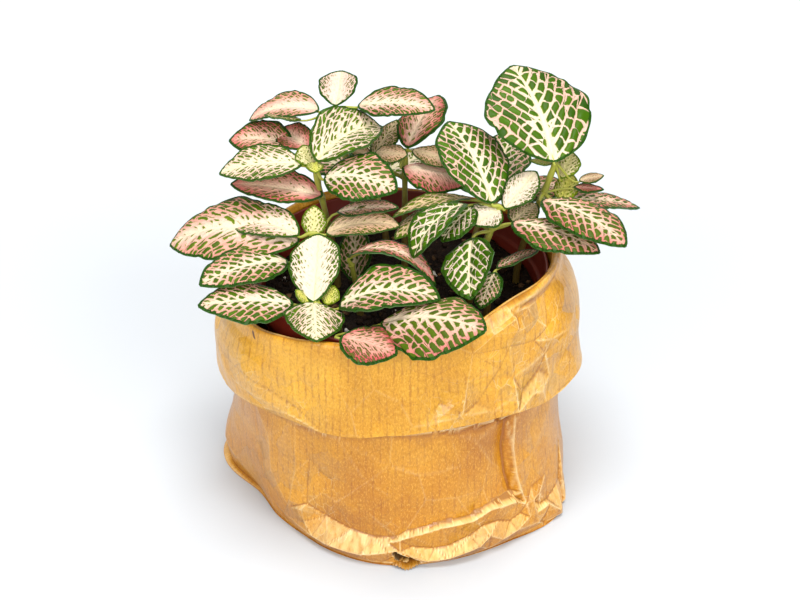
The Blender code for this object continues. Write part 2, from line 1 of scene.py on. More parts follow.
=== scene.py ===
"""Looks of the potted nerve plant: net-veined leaves, stems, soil, nursery pot and creased kraft-paper bag.

Metres in the scene, millimetres and degrees in the tables. +Z up, -Y to the front. The shoots and the bag
repeat the shapes of their CAD solids and give them fine meshes.
"""

import math
from collections import namedtuple

import bpy
import numpy as np
from mathutils import Matrix, Vector
from mathutils.geometry import delaunay_2d_cdt


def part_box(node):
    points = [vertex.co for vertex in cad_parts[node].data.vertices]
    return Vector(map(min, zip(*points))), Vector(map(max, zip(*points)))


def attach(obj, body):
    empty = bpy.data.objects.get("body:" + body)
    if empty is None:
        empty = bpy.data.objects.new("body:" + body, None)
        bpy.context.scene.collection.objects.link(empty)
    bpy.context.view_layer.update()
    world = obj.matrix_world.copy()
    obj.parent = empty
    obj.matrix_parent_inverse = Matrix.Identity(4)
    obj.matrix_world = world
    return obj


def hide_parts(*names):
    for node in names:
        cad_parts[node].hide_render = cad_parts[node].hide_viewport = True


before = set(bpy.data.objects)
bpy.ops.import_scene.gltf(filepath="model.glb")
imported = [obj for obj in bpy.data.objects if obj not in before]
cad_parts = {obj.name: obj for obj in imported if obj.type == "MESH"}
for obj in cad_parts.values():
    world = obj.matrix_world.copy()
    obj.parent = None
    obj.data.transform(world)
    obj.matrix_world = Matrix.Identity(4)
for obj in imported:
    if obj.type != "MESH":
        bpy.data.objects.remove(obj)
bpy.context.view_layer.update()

MM = 0.001
SEED = 5

# ---------------------------------------------------------------- shapes kept from the part

SOIL_TOP = 88.0
STEM_HOLE_DEPTH = 12.0
STEM_RADIUS = 1.5
STEM_TIP_RADIUS = 1.0
PETIOLE_RADIUS = 0.95
PETIOLE_TIP_RADIUS = 0.5
BLADE = 0.45
NARROWEST = 0.05             # half-width at the two ends, as a share of the greatest
FOOT_FULLNESS = 0.62
POINT_FULLNESS = 0.72
RIPPLES = 1.5                # waves along each margin
RIPPLE_SHIFT = 0.3
HALF_SHIFT = 0.43            # by how many rows the left half's side veins are shifted against the right's
PAPER_THICKNESS = 0.35
WAIST_HEIGHT = 45.0
FOLD_RADIUS = 1.5
FOOT_ROUND = 2.5
PAPER_RADIUS = 67.0          # at which angles round the bag become lengths along the paper
MM_A_DEGREE = math.radians(PAPER_RADIUS)
ONCE_ROUND = 2 * math.pi * PAPER_RADIUS

# angle: foot radius, waist radius, crest radius, crest height, cuff radius half way, hem radius, hem height
BAG_SECTIONS = {
    -180: (76, 70, 67, 100, 76, 76, 57),
    -161: (64, 68, 68, 99, 76, 74, 59),
    -144: (63, 66, 69, 99, 74, 70, 61),
    -130: (63, 65, 67, 101, 69, 67, 62),
    -115: (65, 64, 64, 103, 67, 68, 63),
    -97: (67, 64, 63, 105, 66, 68, 66),
    -75: (67, 65, 63, 106, 67, 69, 70),
    -50: (69, 66, 63, 115, 68, 69, 67),
    -29: (75, 67, 63, 114, 69, 69, 60),
    -12: (71, 67, 63, 112, 73, 75, 62),
    6: (68, 67, 63, 110, 72, 73, 62),
    30: (70, 67, 63, 106, 69, 71, 60),
    50: (71, 66, 63, 103, 68, 70, 60),
    75: (67, 65, 63, 101, 67, 69, 61),
    100: (66, 65, 63, 103, 67, 69, 61),
    125: (71, 66, 63, 105, 68, 70, 60),
    150: (69, 67, 64, 103, 70, 72, 58),
    168: (78, 70, 66, 101, 74, 75, 57),
}

# How a leaf is marked. breadth: of its pale veins, 0 a thin net, 1 nearly all pale. pink: how far the
# pale turns pink towards the margin. youth: yellow-green of new leaves. rows: side veins from foot to tip.
# split: lines of green cells between two side veins. cells: green cells between midrib and margin.
# band: width of the green margin in mm. tan: brownish tint.
Look = namedtuple("Look", "breadth pink youth rows split cells band tan", defaults=(0.0,))
LOOKS = {
    "net": Look(0.03, 0.66, 0.02, 8, 1, 5.6, 1.0),
    "fine net": Look(0.00, 0.25, 0.06, 6, 1, 4.4, 1.5),
    "pink net": Look(0.08, 1.08, 0.00, 9, 1, 4.4, 1.2),
    "cells": Look(0.12, 0.98, 0.00, 9, 1, 4.4, 1.2),
    "pale cells": Look(0.14, 0.35, 0.10, 7, 2, 4.6, 1.0),
    "dashes": Look(0.24, 1.00, 0.00, 8, 2, 4.2, 1.0),
    "pale dashes": Look(0.20, 0.50, 0.08, 7, 2, 4.4, 1.0),
    "dots": Look(0.44, 0.60, 0.06, 7, 2, 5.0, 0.9),
    "white": Look(0.56, 0.12, 0.08, 7, 2, 5.0, 0.9),
    "blush white": Look(0.58, 0.45, 0.00, 7, 2, 5.0, 0.9),
    "salmon": Look(0.44, 1.12, 0.00, 9, 2, 4.2, 1.0),
    "pale salmon": Look(0.50, 1.00, 0.00, 8, 2, 4.2, 0.9),
    "salmon dashes": Look(0.24, 1.15, 0.00, 8, 2, 4.2, 1.3),
    "red": Look(0.22, 1.40, 0.00, 8, 2, 4.2, 1.3),
    "tan": Look(0.40, 0.85, 0.10, 8, 2, 4.5, 0.7, 0.55),
    "tan cells": Look(0.16, 0.60, 0.12, 7, 2, 4.2, 1.0, 0.4),
    "olive": Look(0.10, 0.40, 0.25, 7, 1, 4.0, 1.2, 0.6),
    "bud": Look(0.36, 0.00, 1.00, 6, 1, 4.5, 0.8),
    "young": Look(0.34, 0.10, 0.55, 6, 1, 4.5, 0.9),
    "grey net": Look(0.08, 0.80, 0.00, 7, 1, 4.2, 1.4, 0.3),
}

Leaf = namedtuple(
    "Leaf",
    "foot turn rise long wide droop roll left right curl look sweep full node wave",
    defaults=(0, 0.46, 1.0, 0.4),
)
Shoot = namedtuple("Shoot", "root crown slot leaves")

SHOOTS = {
    "shoot_front_left": Shoot((-24, -30), (-32, -38, 108), "leaf_cream", [
        Leaf((-1, 0, 0), 90, 45, 29, 21, 20, -5, 10, 20, 20, "white", sweep=-5, full=0.6),
        Leaf((-1, 0, 0), -85, 10, 23, 23, 35, -5, 5, 10, 25, "pale dashes", full=0.42),
        Leaf((-9, 1, -1), -165, 20, 37, 25, 25, -5, 5, 10, 25, "cells", node=0.8),
        Leaf((9, -3, 0), -10, 45, 42, 27, 65, 5, 20, 15, 20, "cells", sweep=-5, node=0.8),
        Leaf((4, 0, -1), 65, 40, 8, 8, 0, 0, 10, 10, 25, "bud", wave=0),
        Leaf((-3, 0, 0), 160, 40, 7, 6, 0, 0, 10, 10, 25, "bud", wave=0),
    ]),
    "shoot_left": Shoot((-28, -8), (-35, -8, 121), "leaf_blush", [
        Leaf((1, 0, -2), 90, 50, 13, 10, 0, 0, 10, 10, 25, "young", full=0.5, wave=0),
        Leaf((-5, 0, -1), 155, 20, 34, 20, 50, -10, 20, 20, 20, "dots", sweep=5),
        Leaf((6, 0, 0), 0, 30, 30, 18, 45, 5, 20, 15, 20, "tan", sweep=-5),
        Leaf((-5, 0, -4), 170, 25, 57, 34, 65, -15, 5, 10, 25, "dashes", full=0.5, node=0.8),
        Leaf((-9, -8, -8), -150, 20, 39, 23, 35, -5, 10, 15, 25, "cells", sweep=5, node=0.6),
        Leaf((10, 10, 4), -15, 20, 26, 13, 15, 0, 15, 15, 25, "dashes", node=0.8),
    ]),
    "shoot_upper_left": Shoot((-26, 8), (-34, 12, 140), "leaf_cream", [
        Leaf((-1, 0, 0), 120, 40, 10, 11, 5, 0, 10, 10, 25, "young", full=0.5, wave=0),
        Leaf((0, 0, 2), -85, 20, 10, 7, 35, 0, 10, 10, 25, "bud", full=0.5, wave=0),
        Leaf((1, -3, 4), 45, 35, 35, 27, 55, 10, 30, 20, 15, "pale cells", sweep=-5, full=0.5),
        Leaf((-5, 0, 1), 180, 10, 34, 21, 35, -10, 10, 20, 20, "pale dashes"),
        Leaf((4, -6, -2), -25, 30, 33, 24, 55, 15, 20, 0, 25, "cells", node=0.9),
        Leaf((3, -4, -11), 170, 10, 38, 20, 15, -10, 15, 20, 20, "salmon", node=0.75),
    ]),
    "shoot_top": Shoot((-18, 28), (-25, 36, 154), "leaf_blush", [
        Leaf((-1, 0, 1), 85, 40, 17, 17, 15, -5, 15, 20, 20, "blush white", sweep=-5, full=0.6),
        Leaf((-8, 0, -1), 170, 15, 31, 19, 55, -10, 20, 15, 20, "pale salmon", sweep=5, full=0.4),
        Leaf((8, -2, 2), -15, 20, 33, 19, 30, 10, 20, 10, 20, "dashes", sweep=-5),
        Leaf((-19, -9, -12), 160, 10, 28, 20, 30, -15, 15, 20, 20, "salmon dashes", sweep=5, node=0.7),
        Leaf((-12, -12, -12), 135, 15, 18, 15, 15, -10, 10, 25, 20, "salmon", full=0.5, node=0.7),
        Leaf((-15, -6, -2), -175, 10, 15, 10, 0, 20, 5, 15, 25, "olive", node=0.9),
    ]),
    "shoot_middle": Shoot((2, 22), (2, 26, 140), "leaf_salmon", [
        Leaf((1, 0, 1), 65, 40, 31, 22, 35, -10, 5, 15, 25, "salmon dashes", sweep=-5, full=0.5),
        Leaf((-13, 4, -5), 50, 40, 19, 12, 10, 0, 5, 5, 25, "tan cells", node=0.8),
        Leaf((-12, -2, 0), -20, 10, 14, 11, 10, 15, 15, 5, 25, "tan", node=0.9),
        Leaf((-1, -5, -5), -20, 15, 28, 22, 45, 0, 0, -10, 35, "salmon", full=0.5, node=0.9),
        Leaf((3, 0, 0), -30, 5, 21, 11, 25, 10, 20, 10, 20, "tan"),
        Leaf((-14, 0, -3), 150, 15, 12, 8, 15, -5, 15, 20, 20, "tan", node=0.8),
    ]),
    "shoot_right": Shoot((28, -8), (39, -6, 132), "leaf_green", [
        Leaf((-3, -1, 2), 115, 50, 40, 31, 35, 5, 15, 10, 25, "net", sweep=10, full=0.55),
        Leaf((2, 0, -1), 40, 40, 20, 15, 15, 5, 15, 10, 25, "white", full=0.55),
        Leaf((0, 0, -1), -140, 0, 14, 14, 20, -10, 10, 20, 25, "white", full=0.5),
        Leaf((-13, 0, 1), -140, 15, 34, 18, 75, 5, 25, 15, 20, "fine net", sweep=10, full=0.55, node=0.9),
        Leaf((-10, 0, 0), -130, 0, 21, 15, 45, 0, 10, 10, 25, "fine net", sweep=-5, full=0.5, node=0.9),
        Leaf(
            (-11, -11, -8), -100, -15, 29, 22, 15, 20, 25, 10, 20, "fine net",
            sweep=15, full=0.42, node=0.7,
        ),
        Leaf((5, -2, -6), -30, 15, 39, 23, 35, 0, 5, 0, 30, "pink net", sweep=-5, node=0.8),
        Leaf((5, 0, -7), 45, 15, 15, 13, 10, 5, 10, 10, 25, "tan cells", node=0.8),
        Leaf((-11, 8, -1), -165, 15, 33, 13, 40, 15, 10, 20, 20, "olive", sweep=5, node=0.9),
        Leaf((-24, 8, -3), -135, -5, 25, 15, 20, 10, 5, 0, 30, "olive", node=0.7),
    ]),
    "shoot_tall_right": Shoot((48, 8), (61, 6, 145), "leaf_green", [
        Leaf((-1, -5, 3), 100, 40, 49, 44, 25, 0, 10, 10, 25, "net", sweep=20, full=0.5),
        Leaf((3, 0, -7), 60, 40, 12, 11, 5, 0, 10, 10, 25, "young", full=0.55, wave=0),
        Leaf((-1, 0, 0), -175, 10, 9, 7, 5, 5, 10, 10, 25, "bud", wave=0),
        Leaf((3, 0, -17), 55, 40, 12, 11, 0, 0, 10, 10, 25, "bud", full=0.5, node=0.7, wave=0),
        Leaf((10, 0, -8), 5, 15, 10, 7, 10, 5, 10, 10, 25, "tan", wave=0, node=0.9),
        Leaf((-5, -7, -13), -40, 15, 43, 25, 40, 0, 5, 5, 30, "pink net", sweep=-10, full=0.5, node=0.7),
        Leaf((1, -3, -16), 10, 5, 36, 20, 30, -5, 10, 15, 25, "pink net", node=0.7),
        Leaf((8, 0, -11), -10, 5, 12, 6, 10, 10, 10, 10, 25, "salmon dashes", node=0.8),
    ]),
    "shoot_front": Shoot((-8, -34), (-10, -40, 98), "leaf_salmon", [
        Leaf(
            (-12, -20, 9), -25, 10, 23, 22, 30, 5, 10, 5, 25, "red",
            sweep=5, full=0.5, node=0.8,
        ),
        Leaf((3, -12, 10), -25, 35, 45, 35, 45, 10, 0, -10, 35, "pink net", sweep=-5, full=0.5, node=0.8),
    ]),
    "shoot_inner": Shoot((-16, -14), (-19, -17, 112), "leaf_salmon", [
        Leaf((-1, -1, 4), -15, 45, 42, 19, 110, -5, 5, 25, 20, "salmon dashes", sweep=-5),
        Leaf((1, 8, -13), 90, 55, 24, 16, 10, -20, 5, 25, 20, "grey net", node=0.4),
    ]),
    "shoot_low_right": Shoot((34, -24), (36, -21, 108), "leaf_green", [
        Leaf((1, -5, 6), -115, -10, 18, 12, 25, 5, 15, 10, 25, "grey net", sweep=5, full=0.5),
        Leaf((2, 3, 3), 30, 15, 20, 11, 15, -5, 0, 25, 20, "pink net"),
    ]),
    "shoot_back": Shoot((-6, 38), (-12, 50, 116), "leaf_blush", [
        Leaf((0, 1, 0), 90, 35, 30, 21, 30, 0, 10, 10, 25, "dashes"),
        Leaf((-4, 0, -1), 150, 20, 34, 22, 40, 0, 10, 10, 25, "cells", node=0.9),
        Leaf((4, 1, -1), 35, 20, 33, 22, 40, 0, 10, 10, 25, "pale cells", node=0.9),
        Leaf((-2, 4, -8), 110, 10, 33, 23, 45, 0, 10, 10, 25, "net", node=0.6),
        Leaf((0, -1, 1), -80, 55, 9, 8, 0, 0, 10, 10, 25, "bud", wave=0),
    ]),
    "shoot_back_right": Shoot((30, 26), (38, 36, 116), "leaf_green", [
        Leaf((1, 1, 0), 70, 40, 34, 24, 35, 0, 10, 10, 25, "net"),
        Leaf((4, -1, -2), 10, 20, 34, 22, 40, 0, 10, 10, 25, "pink net", node=0.9),
        Leaf((-2, 3, -4), 115, 20, 33, 22, 50, 0, 10, 10, 25, "cells", node=0.8),
        Leaf((4, 5, -7), 50, 5, 32, 22, 40, 0, 10, 10, 25, "net", node=0.6),
        Leaf((0, -1, 1), -60, 55, 9, 8, 0, 0, 10, 10, 25, "bud", wave=0),
    ]),
}


# ---------------------------------------------------------------- finishes


def rgb(*shown):
    """A colour for a socket, from the 0 to 255 that a colour picker shows."""
    return (*(((value / 255 + 0.055) / 1.055) ** 2.4 if value > 10 else value / 3295 for value in shown), 1.0)


class Value:
    """A number that varies over a surface. Python's operators on it add Math nodes."""

    def __init__(self, finish, socket):
        self.finish = finish
        self.socket = socket

    def maths(self, operation, *numbers):
        node = self.finish.node("Math", {"operation": operation}, dict(enumerate(numbers)))
        return Value(self.finish, node.outputs[0])

    def __add__(self, other):
        return self.maths("ADD", self, other)

    def __sub__(self, other):
        return self.maths("SUBTRACT", self, other)

    def __rsub__(self, other):
        return self.maths("SUBTRACT", other, self)

    def __mul__(self, other):
        return self.maths("MULTIPLY", self, other)

    def __truediv__(self, other):
        return self.maths("DIVIDE", self, other)

    def __abs__(self):
        return self.maths("ABSOLUTE", self)

    def __gt__(self, other):
        return self.maths("GREATER_THAN", self, other)

    __radd__ = __add__
    __rmul__ = __mul__

    def least(self, other):
        return self.maths("MINIMUM", self, other)

    def most(self, other):
        return self.maths("MAXIMUM", self, other)

    def whole(self):
        return self.maths("FLOOR", self)

    def past_whole(self):
        return self.maths("FRACT", self)

    def smooth(self, low, high):
        """0 below low, 1 above high, and smooth between them."""
        node = self.finish.node(
            "MapRange",
            {"interpolation_type": "SMOOTHSTEP"},
            {"Value": self, "From Min": low, "From Max": high},
        )
        return Value(self.finish, node.outputs["Result"])


class Finish:
    """A material, with one short call for each kind of node."""

    def __init__(self, name, roughness, specular=0.5):
        self.material = bpy.data.materials.new(name)
        self.material.use_nodes = True
        self.tree = self.material.node_tree
        self.shader = self.tree.nodes["Principled BSDF"]
        self.feed(self.shader.inputs["Roughness"], roughness)
        self.feed(self.shader.inputs["Specular IOR Level"], specular)

    def feed(self, socket, value):
        if isinstance(value, Value):
            self.tree.links.new(value.socket, socket)
        else:
            socket.default_value = value

    def node(self, kind, settings=None, values=None):
        node = self.tree.nodes.new("ShaderNode" + kind)
        for name, setting in (settings or {}).items():
            setattr(node, name, setting)
        for name, value in (values or {}).items():
            self.feed(node.inputs[name], value)
        return node

    def out(self, node, name):
        return Value(self, node.outputs[name])

    def attribute(self, name):
        """The three numbers of a vector attribute."""
        found = self.node("Attribute", {"attribute_name": name})
        split = self.node("SeparateXYZ", values={"Vector": self.out(found, "Vector")})
        return [self.out(split, axis) for axis in "XYZ"]

    def place(self):
        return self.out(self.node("TexCoord"), "Object")

    def vector(self, x, y, z=0.0):
        return self.out(self.node("CombineXYZ", values={"X": x, "Y": y, "Z": z}), "Vector")

    def noise(self, vector, scale, detail=2.0, roughness=0.5, output="Fac"):
        node = self.node(
            "TexNoise",
            values={"Vector": vector, "Scale": scale, "Detail": detail, "Roughness": roughness},
        )
        return self.out(node, output)

    def seeds(self, vector, feature, randomness):
        """Seeds scattered in a plane."""
        return self.node(
            "TexVoronoi",
            {"voronoi_dimensions": "2D", "feature": feature},
            {"Vector": vector, "Scale": 1.0, "Randomness": randomness},
        )

    def cells(self, vector, feature):
        """Distance to the nearest or second nearest seed, and that seed's colour."""
        node = self.seeds(vector, feature, 0.7)
        return self.out(node, "Distance"), self.out(node, "Color")

    def facets(self, vector):
        """Height of flat facets, each tilted its own way, and the distance from the nearest edge of one."""
        cell = self.seeds(vector, "F1", 1.0)
        edge = self.seeds(vector, "DISTANCE_TO_EDGE", 1.0)
        offset = self.between(vector, self.out(cell, "Position"))
        tilt = self.between(self.out(cell, "Color"), (0.5, 0.5, 0.5))
        dot = self.node("VectorMath", {"operation": "DOT_PRODUCT"}, {0: offset, 1: tilt})
        return self.out(dot, "Value"), self.out(edge, "Distance")

    def between(self, first, second):
        """The step from the second place to the first."""
        node = self.node("VectorMath", {"operation": "SUBTRACT"}, {0: first, 1: second})
        return self.out(node, "Vector")

    def channels(self, colour):
        split = self.node("SeparateColor", values={"Color": colour})
        return self.out(split, "Red"), self.out(split, "Green"), self.out(split, "Blue")

    def mix(self, share, first, second):
        """From the first colour to the second as share goes from 0 to 1."""
        node = self.node("Mix", {"data_type": "RGBA"}, {0: share, 6: first, 7: second})
        return Value(self, node.outputs[2])

    def paint(self, colour):
        self.feed(self.shader.inputs["Base Color"], colour)

    def bump(self, height, distance, strength=1.0):
        node = self.node("Bump", values={"Height": height, "Distance": distance, "Strength": strength})
        self.feed(self.shader.inputs["Normal"], self.out(node, "Normal"))


WHITE = rgb(227, 210, 192)
CREAM = rgb(226, 214, 182)
PINK = rgb(217, 160, 139)
DEEP_PINK = rgb(199, 88, 90)
CELL_GREEN = rgb(66, 104, 6)
CELL_DARK = rgb(32, 70, 4)
CELL_EDGE = rgb(120, 140, 30)
MARGIN_GREEN = rgb(37, 77, 10)
EDGE_GREEN = rgb(86, 119, 68)
YOUNG_GREEN = rgb(141, 159, 17)
YOUNG_CREAM = rgb(207, 203, 86)
CREAM_GREEN = rgb(134, 138, 26)     # of the cells of pale leaves, near the midrib
ROSY_GREEN = rgb(104, 88, 36)       # of the cells of deep pink leaves
TAN = rgb(186, 143, 95)
OLIVE = rgb(101, 90, 32)
UNDER_PALE = rgb(186, 178, 112)
UNDER_PINK = rgb(206, 150, 120)
UNDER_GREEN = rgb(122, 134, 62)
UNDER_DARK = rgb(98, 116, 52)
UNDER_MARGIN = rgb(92, 112, 56)


def leaf_net(finish):
    """Where the leaf is green, and the numbers that colour it: shared by its two faces."""
    share, reach, margin = finish.attribute("place")
    lateral, cross, seed = finish.attribute("net")
    breadth, pink, youth = finish.attribute("look")
    tan, band, split = finish.attribute("tone")
    out = abs(reach)
    side = reach > 0.0
    where = finish.vector(lateral, cross, seed * 7.3 + side * 5.1)
    sway = finish.channels(finish.noise(where, 0.7, 3.0, output="Color"))
    fine = finish.noise(where, 6.0, 3.0, 0.6)
    strength = finish.noise(where, 1.3, 1.0)
    spur = finish.noise(finish.vector(lateral * 1.6, cross * 5.0, seed + side * 3.0), 1.0, 1.0)
    loose = (breadth * 3.0 + 0.45).least(1.0)
    lateral = lateral + side * HALF_SHIFT + (sway[0] - 0.5) * 0.8 * loose
    cross = cross + (sway[1] - 0.5) * 1.5 * loose
    row = lateral.whole()
    cells = finish.vector(
        lateral * split + seed * 7.0 - 0.15, cross + row * 0.37 + seed * 5.0 + side * 31.0
    )
    nearest, colour = finish.cells(cells, "F1")
    second, _ = finish.cells(cells, "F2")
    near_row = 0.5 - abs(lateral.past_whole() - 0.5)
    inner = 1.0 - out.smooth(0.0, 0.8)
    broad = breadth * (0.35 + inner * 1.7)
    row_vein = near_row / ((0.15 - out * 0.08) * (broad * 2.0 + 1.0))
    net_vein = (second - nearest) / ((0.02 + strength.smooth(0.25, 0.75) * 0.2) + broad * 0.62)
    rib = out / ((1.0 - share) * 0.07 + 0.015 + breadth * 0.06)
    vein = row_vein.least(net_vein).least(rib)
    vein = vein + (fine - 0.5) * (breadth + 0.3)
    vein = vein + (spur - 0.5) * ((out * 0.9 + breadth * 1.2) * loose + 0.05)
    ragged = finish.noise(finish.vector(lateral * 4.0, seed * 9.0 + side * 3.0), 1.0, 2.0)
    rim = band * (0.25 + ragged * 1.5)
    return {
        "share": share, "out": out, "margin": margin, "vein": vein, "green": vein.smooth(0.82, 1.14),
        "inside": (margin - rim).smooth(-0.12, 0.15), "pink": pink, "youth": youth, "tan": tan,
        "breadth": breadth, "fine": fine, "cell": finish.channels(colour)[0],
    }


def leaf_face_finish():
    finish = Finish("leaf_face", 0.38, 0.12)
    net = leaf_net(finish)
    rosy = (net["pink"] - 0.95).most(0.0)
    outer = net["out"] * 0.95 + net["share"] * 0.3 + (net["fine"] - 0.5) * 0.6
    blush = (outer + rosy * 1.2).smooth(0.06, 0.8) * net["pink"].least(1.0)
    pale = finish.mix(net["out"].smooth(0.0, 0.4), CREAM, WHITE)
    pale = finish.mix(blush, pale, PINK)
    near_margin = (net["margin"] + (net["fine"] - 0.5) * 5.0).smooth(5.5, 0.8)
    deep = outer.smooth(0.25, 1.0) * rosy * 1.6 + near_margin * (rosy * 4.0).least(0.7)
    pale = finish.mix(deep.least(1.0), pale, DEEP_PINK)
    pale = finish.mix(net["youth"] * (0.95 - net["out"] * 0.3), pale, YOUNG_CREAM)
    pale = finish.mix(net["tan"] * 0.85, pale, TAN)
    green = finish.mix(net["cell"], CELL_GREEN, CELL_DARK)
    green = finish.mix(net["vein"].smooth(1.7, 0.95) * 0.7, green, CELL_EDGE)
    green = finish.mix(net["breadth"] * (1.0 - net["out"].smooth(0.3, 0.9)) * 0.9, green, CREAM_GREEN)
    green = finish.mix((rosy * 1.6).least(0.6), green, ROSY_GREEN)
    green = finish.mix(net["youth"] * 0.8, green, YOUNG_GREEN)
    green = finish.mix(net["tan"] * 0.45, green, OLIVE)
    rim = finish.mix(net["margin"].smooth(0.0, 0.9), MARGIN_GREEN, CELL_DARK)
    rim = finish.mix(net["youth"] * 0.6, rim, YOUNG_GREEN)
    inner = finish.mix(net["green"], pale, green)
    finish.paint(finish.mix(net["inside"], rim, inner))
    puff = net["vein"].least(2.0).smooth(0.0, 2.0) + net["fine"] * 0.12
    finish.bump(puff, 0.0006, 0.9)
    return finish.material


def leaf_underside_finish():
    finish = Finish("leaf_underside", 0.5, 0.35)
    net = leaf_net(finish)
    pale = finish.mix(net["pink"].least(1.0) * 0.6, UNDER_PALE, UNDER_PINK)
    green = finish.mix(net["cell"], UNDER_GREEN, UNDER_DARK)
    inner = finish.mix(net["green"] * 0.8, pale, green)
    finish.paint(finish.mix(net["inside"], UNDER_MARGIN, inner))
    finish.bump(1.0 - net["vein"].least(2.0).smooth(0.0, 2.0), 0.0003, 0.6)
    return finish.material


def leaf_edge_finish():
    finish = Finish("leaf_edge", 0.5)
    grain = finish.noise(finish.place(), 900.0)
    finish.paint(finish.mix(grain, EDGE_GREEN, MARGIN_GREEN))
    return finish.material


def stem_finish():
    finish = Finish("stem", 0.42, 0.4)
    age, _, _ = finish.attribute("stem")
    place = finish.place()
    streak = finish.noise(place, 700.0, 3.0)
    old = finish.mix(streak, rgb(118, 96, 42), rgb(92, 82, 36))
    new = finish.mix(streak, rgb(178, 176, 74), rgb(146, 156, 52))
    finish.paint(finish.mix((age + (streak - 0.5) * 0.4).smooth(0.35, 1.0), old, new))
    finish.bump(streak, 0.0002, 0.5)
    return finish.material


def perlite_finish():
    finish = Finish("perlite", 0.9, 0.3)
    grain = finish.noise(finish.place(), 1500.0, 3.0)
    finish.paint(finish.mix(grain, rgb(206, 200, 186), rgb(240, 238, 230)))
    finish.bump(grain, 0.0003, 0.8)
    return finish.material


def speckled_finish(name, shine, noises, colours, specks, bump):
    """Two colours blended by one noise, with specks of a third where another noise is strong.

    shine: roughness, specular. noises: scale, detail and roughness of each. specks: the noise at their rims
    and in their middles, and their strength. bump: which noise, the height in metres, strength.
    """
    finish = Finish(name, *shine)
    place = finish.place()
    fields = [finish.noise(place, *noise) for noise in noises]
    first, second, speck = colours
    rim, middle, strength = specks
    colour = finish.mix(fields[0], first, second)
    finish.paint(finish.mix(fields[1].smooth(rim, middle) * strength, colour, speck))
    which, *height = bump
    finish.bump(fields[which], *height)
    return finish.material


def soil_finish():
    return speckled_finish(
        "peat", (0.95, 0.2), ((90.0, 3.0), (420.0, 5.0, 0.65)),
        (rgb(16, 12, 10), rgb(40, 28, 20), rgb(82, 60, 42)), (0.55, 0.8, 1.0), (1, 0.0012, 1.0),
    )


def crumb_finish():
    return speckled_finish(
        "soil_crumb", (0.95, 0.2), ((900.0, 4.0, 0.6), (140.0, 1.0)),
        (rgb(18, 13, 10), rgb(54, 38, 27), rgb(124, 92, 62)), (0.55, 0.7, 1.0), (0, 0.0006, 1.0),
    )


def pot_finish():
    return speckled_finish(
        "terracotta_plastic", (0.42, 0.5), ((40.0, 3.0), (2600.0, 2.0)),
        (rgb(112, 30, 18), rgb(136, 46, 30), rgb(196, 112, 88)), (0.6, 0.9, 0.35), (1, 0.00008, 0.6),
    )


RIB_PITCH = 3.0              # of the paper's fine dark stripes, in mm
NICK_ALONG, NICK_DOWN, NICK_LENGTH = -228.6, 123.6, 2.2     # the small tear below the crest, in mm
PAPER_DULL = rgb(182, 113, 10), rgb(210, 144, 26)
PAPER_GLAZED = rgb(206, 142, 20), rgb(230, 170, 42)
PAPER_RIB = rgb(150, 82, 10)
PAPER_LIGHT_FIBRE = rgb(250, 200, 92)
PAPER_DARK_FIBRE = rgb(158, 90, 12)
PAPER_FLECK = rgb(110, 64, 24)
# painted sheen on facets that face up, and painted shade on those that face down or lie under the hem
PAPER_PAINTED_SHEEN = rgb(255, 220, 146)
PAPER_SHADED = rgb(142, 78, 10)
# painted highlight on ridges, with real whitened scratches where worn; painted shade in valleys
PAPER_RIDGE_HIGHLIGHT_AND_SCRATCH = rgb(255, 234, 178)
PAPER_VALLEY_SHADE = rgb(146, 82, 20)
# painted shade in the mouth of the folded end
PAPER_MOUTH_SHADE = rgb(58, 32, 14)
PAPER_NICK = rgb(96, 52, 18)


